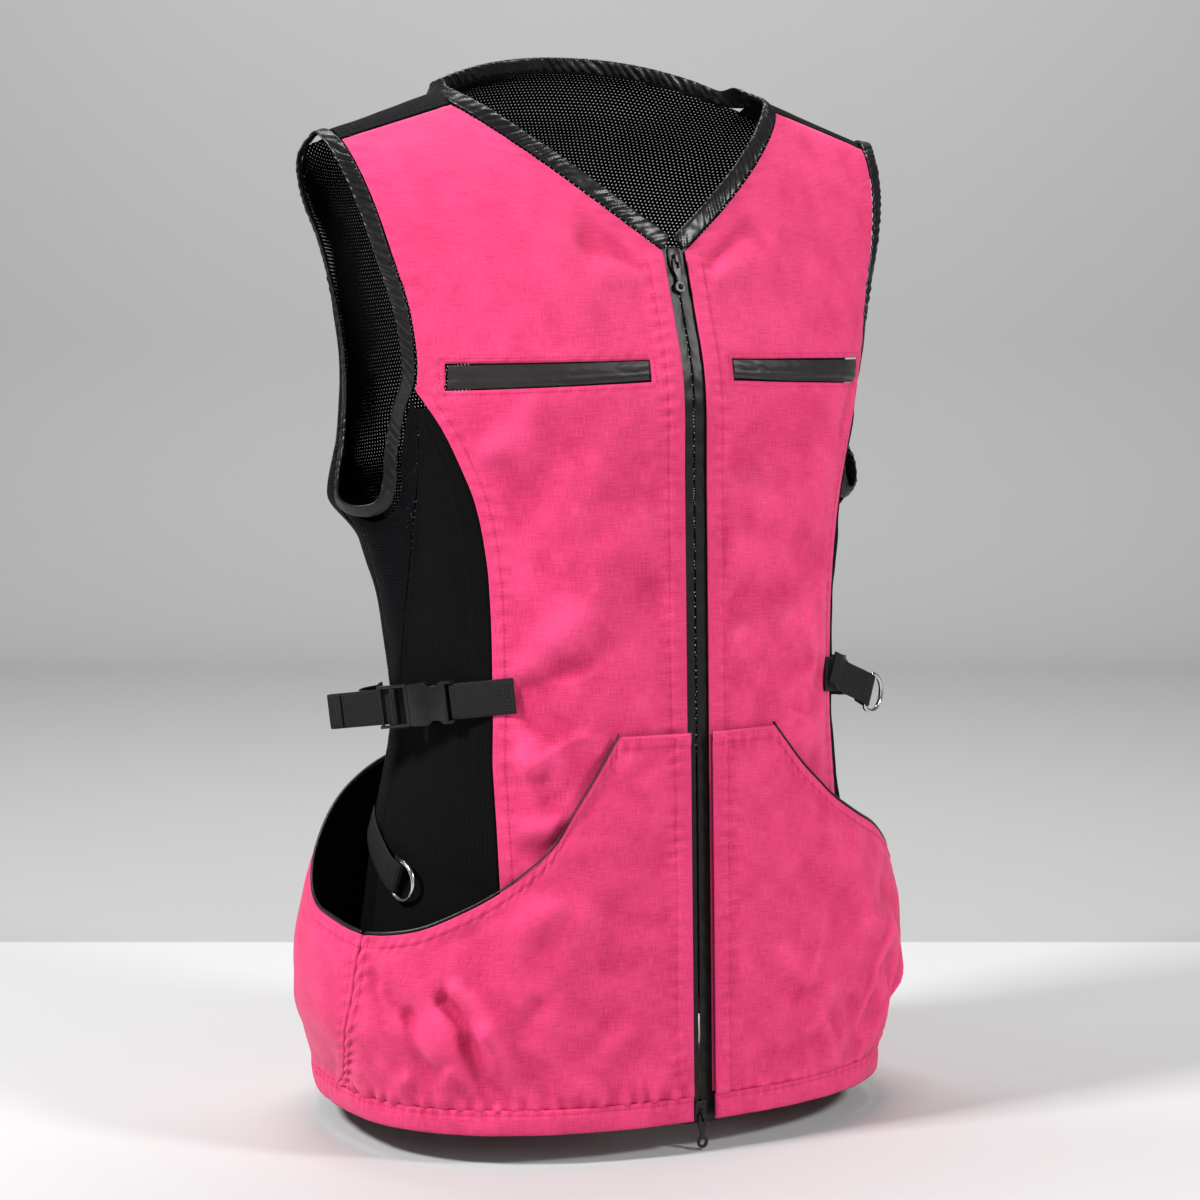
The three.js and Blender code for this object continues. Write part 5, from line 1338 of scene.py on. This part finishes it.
# %% Webbing strips
WEBBING_W, WEBBING_T = 25.0, 1.3
MID = 3.0                    # the buckle's middle plane, out from the strap frame's origin

def strap_frame(m):
    """A buckle's own frame: origin, the way back along the strap, up, and out from the body."""
    o = np.array([m * 154, -65.5, 300.0])
    along = unit([m * 0.6, 0.8, -0.13])
    up = unit(np.array([0, 0, 1.0]) - along * along[2])
    out = np.cross(up, along) if m < 0 else np.cross(along, up)
    return o, along, up, out

def strip(name, path, place, width, thick, seed, step=0.9):
    """Webbing along a smooth path of (along, out) points in a frame's own plane, thinner at its two edges."""
    o, along, up, out = place
    p = spline(path, step=step)
    t = unit(np.gradient(p, axis=0))
    mid = o + p[:, :1] * along + p[:, 1:] * out
    deep = t[:, :1] * out - t[:, 1:] * along

    def uneven(a, c, _):
        return 0.10 * hills(a, c, 9, seed + 1) - 0.22 * np.maximum(np.abs(c) / (width / 2) - 0.9, 0) * 10

    wide = np.broadcast_to(unit(up) * width / 2, mid.shape)
    return swept(name, mid, wide, deep * thick / 2, power=6.0, sides=32, lift=uneven), mid, deep

def box_stitch(name, mid, deep, up, first, last, half, lift_by):
    """A stitched rectangle, with its diagonals, over a length of strip between two places along it."""
    i = np.linspace(first, last, 40).astype(int)
    edge = lambda k: mid[i] + up * k + deep[i] * lift_by
    rows = [(edge(half), deep[i]), (edge(-half), deep[i])]
    rows += [cross_row(mid[j], deep[j], up, half, lift_by) for j in (first, last)]
    for k in (-1, 1):
        rows.append((mid[i] + up * (np.linspace(-half, half, 40) * k)[:, None] + deep[i] * lift_by, deep[i]))
    stitches(name, rows, BLACK_THREAD)

def cross_row(mid, deep, up, half, lift_by):
    """A row of stitches straight across a strip, lifted off its middle plane."""
    return np.linspace(mid - up * half, mid + up * half, 30) + deep * lift_by, np.tile(deep, (30, 1))

for side, m in SIDES:
    place = o, along, up, out = strap_frame(m)
    local = lambda p: np.stack([(p - o) @ along, (p - o) @ out], -1)
    x = 138.5 + np.array([-12, -9, -6.5])
    q = to_side(front(x, 305.0) + outward(front, x, np.full(3, 305.0)) * (0.35 + WEBBING_T / 2), m)
    a = np.radians(np.linspace(90, -90, 9))
    bar = np.stack([3.2 + 2.3 * np.cos(a), MID + 2.3 * np.sin(a)], 1)
    path = np.vstack([local(q), [[-21, 0.9], [-14, 2.6], [-6, 4.6], [0, MID + 2.3]], bar,
                      [[0, 0.9], [-6, 1.2], [-12, 0.6]]])
    strap, mid, deep = strip(f"webbing_front_{side}", path, place, WEBBING_W, WEBBING_T, seed=820 + m)
    finish_piece(strap, WEBBING, nodes=[f"front_strap_{side}"])
    outside = 1 if (deep[4] @ out) > 0 else -1
    box_stitch(f"front_box_{side}", mid, deep * outside, up, 2, 12, 9.6, 0.72)

    seat_a = np.array([118, 112, 106.0])
    q = to_side(ring(seat_a, 288.0) + outward(ring, seat_a, np.full(3, 288.0)) * 8, m)
    path = np.vstack([local(q), [[92.5, -36], [90, -22], [83, -10], [73, -3.6], [63, MID - 4.9], [55, MID - 4.6],
                                 [50.6, MID - 4.2], [48.6, MID - 2.4], [48.15, MID], [48.9, MID + 1.7],
                                 [50.5, MID + 2.35], [52.1, MID + 1.7], [52.85, MID], [54, MID - 1.6],
                                 [56.6, MID - 2.4], [61, MID - 2.6], [70, MID - 2.4], [86, MID - 1.6],
                                 [101, MID - 0.2]]])
    rear, mid, deep = strip(f"webbing_rear_{side}", path, place, WEBBING_W, WEBBING_T, seed=830 + m, step=0.8)
    finish_piece(rear, WEBBING, body=None, nodes=[f"rear_strap_{side}"])
    path = [[93, MID - 0.6], [97, MID - 0.3], [102.6, MID + 0.1]]
    tail, mid, deep = strip(f"webbing_tail_{side}", path, place, WEBBING_W - 0.4, 2.8, seed=840 + m)
    finish_piece(tail, WEBBING, body=f"buckle_plug_{side}")
    sign = 1 if (deep[3] @ out) > 0 else -1
    bars = [cross_row(mid[k], deep[k] * sign, up, 10.5, 1.5) for k in (2, 4)]
    thread = stitches(f"tail_stitches_{side}", bars, BLACK_THREAD)
    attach(thread, f"buckle_plug_{side}")
    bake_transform(rear)
print("waist straps made")

# %% [markdown]
# ## Rings
#
# Three D-rings of plated wire hang in short webbing tabs: one at each hip and one at the wearer's
# left waist.

# %% Rings and their tabs
WIRE, RING_HALF, RING_REACH = 1.7, 13.6, 19.5

def d_ring(name, o, t, w, n, node):
    """A wire ring round its straight bar at o: t points to the bow, w along the bar, n out of its plane."""
    a = np.radians(np.linspace(80, -80, 17))
    reach = RING_REACH - RING_HALF
    bow = np.stack([reach + RING_HALF * np.cos(a), RING_HALF * np.sin(a)], 1)
    straight = [[0, -RING_HALF + 2.4], [0, -5], [0, 5], [0, RING_HALF - 2.4], [0.75, RING_HALF - 0.65]]
    path = np.vstack([straight, [[2.6, RING_HALF]], bow, [[2.6, -RING_HALF], [0.75, -RING_HALF + 0.65]]])
    p = spline(path, 150, closed=True)
    tangent = unit(np.roll(p, -1, 0) - np.roll(p, 1, 0))
    side = np.stack([tangent[:, 1], -tangent[:, 0]], 1)
    mid = o + p[:, :1] * t + p[:, 1:] * w
    wide = (side[:, :1] * t + side[:, 1:] * w) * WIRE
    obj = swept(name, mid, wide, np.broadcast_to(n * WIRE, mid.shape), sides=20, closed=True)
    finish_piece(obj, NICKEL, body=node, nodes=[node])

def ring_set(node, o, t, n, tail):
    """A ring and the webbing tab looped over its bar, sewn together beside the ring, whose end runs to the tail."""
    w = unit(np.cross(n, t))
    w = w if w[2] > 0 else -w
    local = lambda p: np.stack([(p - o) @ t, (p - o) @ n], -1)
    r = WIRE + 0.35 + WEBBING_T / 2
    a = np.radians(np.linspace(-90, 90, 9))
    over_bar = np.stack([r * np.cos(a), r * np.sin(a)], 1)
    path = np.vstack([[[-11, -r + 0.1], [-5, -r]], over_bar, [[-5, r - 0.2], [-12, r - 1.2]],
                      local(np.array(tail))[::-1]])
    tab, mid, deep = strip(f"tab_{node}", path, (o, t, w, n), WEBBING_W - 1.5, WEBBING_T, seed=860)
    finish_piece(tab, WEBBING, nodes=[node.replace("ring_", "ring_tab_")])
    k = int(np.argmin(np.abs((mid - o) @ t + 8.5) + 50 * ((mid - o) @ n < 0)))
    sign = 1 if deep[k] @ n > 0 else -1
    rows = [cross_row(mid[j], deep[j] * sign, w, 10, 0.75) for j in (k, k + 2)]
    stitches(f"tab_stitches_{node}", rows, BLACK_THREAD)
    d_ring(f"{node}_wire", o, t, w, n, node)

for side, m in SIDES:
    n = unit([m * 0.985, -0.17, 0])
    o = to_side(ring(81.0, 172.0), m) + n * (WIRE + WEBBING_T + 2.6)
    lean = math.radians(23)
    t = unit([m * -0.17, -0.985, 0]) * math.cos(lean) + [0, 0, -math.sin(lean)]
    a, h = np.array([109, 104, 98, 92.0]), np.array([201, 198, 193, 187.0])
    tail = to_side(ring(a, h) + outward(ring, a, h) * np.array([[1.2], [1.3], [1.8], [2.6]]), m)
    ring_set(f"hip_ring_{side}", o, t, n, tail)
t, n = unit([0.82, 0.40, -0.40]), unit([0.44, -0.90, 0])
sewn_x, sewn_h = np.array([131.0]), np.array([309.0])
start = (front(sewn_x, sewn_h) + outward(front, sewn_x, sewn_h) * (3.2 + WEBBING_T))[0]
ring_set("waist_ring_left", np.array([181.5, -71, 287.0]), t, n,
         [start, start + t * 9 + [-1.5, -2.2, 0], [153, -81.5, 300.5]])
print("rings made")

# %% [markdown]
# ## What each sheet was cut from
#
# Every panel is cloth cut flat. Its cut is read off the smooth surface before folds and gathers
# are added: the greatest width and length along the cloth, and the area between its seams.

SHEETS = []

def declare(name, cloth):
    """Work out a sheet's flat size in metres and add it to SHEETS in mm and square cm: two triangles to a cell make its
    area.
    """
    p = cloth.p
    area = 0.5e-6 * (np.linalg.norm(np.cross(p[1:, :-1] - p[:-1, :-1], p[:-1, 1:] - p[:-1, :-1]), axis=2).sum()
                     + np.linalg.norm(np.cross(p[:-1, 1:] - p[1:, 1:], p[1:, :-1] - p[1:, 1:]), axis=2).sum())
    width, length = float(cloth.u[-1].max()) * 1e-3, float(cloth.v[:, -1].max()) * 1e-3
    area = float(min(max(area, 0.301 * width * length), width * length))
    SHEETS.append((name, round(width * 1000), round(length * 1000), round(area * 1e4)))

HANGS_FROM = {"pink_front": "yoke_", "pink_pouch": "pink_front_", "pouch_lining": "pink_pouch_",
              "chest_": "pink_front_", "knit": "pink_front_", "net_side": "knit_", "yoke": "satin_armhole_"}
for name, cloth in CLOTHS.items():
    start = next((start for start in HANGS_FROM if name.startswith(start)), None)
    declare(name, cloth)
for row in SHEETS:
    print("%-22s %4d x %4d mm, %5d square cm" % row)

# %% [markdown]
# ## Floor, wall and light
#
# A pale floor meets a grey one, which curves up to a far wall, so that the vest can be seen from
# every side. One light above and in front does most of the work, a second lights the other side,
# a weak third fills the shadows, and the last looks away from the vest and lights the wall.

# %% Floor, wall and light
def plain_paint(name, value, roughness=0.85):
    material, tree, shader = start_material(name, roughness, specular=0.2)
    tint(tree, shader, (value * 0.97,) * 3, (value,) * 3, noise(tree, coordinates(tree, False), 3.0, 3.0))
    return material

LOOK = np.array([1.1583, 2.1020, 0]) / 2.4         # level, the way the camera looks
RIGHT = np.array([LOOK[1], -LOOK[0], 0])
floor_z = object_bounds()[0][2] - 0.0015

def backdrop():
    """Floor, a broad curve, and wall: a strip swept sideways, facing the camera."""
    edge, back, bend, near, half_width, height = 0.60, 3.2, 0.5, -6.0, 5.0, 4.5
    a = np.linspace(0, np.pi / 2, 16)
    depth = np.concatenate([[near, edge], back - bend + bend * np.sin(a), [back]])
    high = np.concatenate([[0, 0], bend - bend * np.cos(a), [height]])
    across = np.array([-half_width, half_width])
    up = np.array([0, 0, 1.0]) * (floor_z + high)[:, None, None]
    p = (LOOK * depth[:, None])[:, None] + RIGHT * across[None, :, None] + up
    quads = grid_faces(len(depth), 2)[:, 0]
    rows = []
    for name, part, value in (("floor", quads[:1], 0.60), ("wall", quads[1:], 0.43)):
        obj = make_mesh(name, p.reshape(-1, 3) * 1000 + [0, 0, NECK], part[:, ::-1])
        obj.data.materials.append(plain_paint(name + " paint", value))
        rows.append(obj)
    return rows

def area_light(name, place, aim, size, watts):
    data = bpy.data.lights.new(name, "AREA")
    data.shape, data.size, data.size_y, data.energy = "RECTANGLE", size[0], size[1], watts
    lamp = bpy.data.objects.new(name, data)
    bpy.context.scene.collection.objects.link(lamp)
    lamp.location = place
    lamp.rotation_euler = (Vector(aim) - Vector(place)).to_track_quat("-Z", "Y").to_euler()
    return lamp

def stage_place(ahead, right, high):
    return tuple(LOOK * ahead + RIGHT * right + np.array([0, 0, high]))

world = bpy.data.worlds.new("soft room")
world.use_nodes = True
world.node_tree.nodes["Background"].inputs[0].default_value = (0.95, 0.97, 1.0, 1)
world.node_tree.nodes["Background"].inputs[1].default_value = 0.11
bpy.context.scene.world = world
bpy.context.scene.view_settings.view_transform = "Standard"

lamps = [area_light("key", stage_place(-0.95, -1.60, 1.15), (0, 0, -0.33), (0.40, 0.40), 66),
         area_light("second key", stage_place(-1.0, 1.75, 0.85), (0, 0, -0.33), (0.40, 0.40), 33),
         area_light("fill", stage_place(-2.3, 0.2, 0.0), (0, 0, -0.4), (1.2, 1.2), 6),
         area_light("wall light", stage_place(0.7, 0.0, 1.9), stage_place(3.0, 0.0, -0.1), (1.6, 0.6), 75)]
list(backdrop())
print("floor at", round(float(floor_z), 4), "m;", len(lamps), "lights")
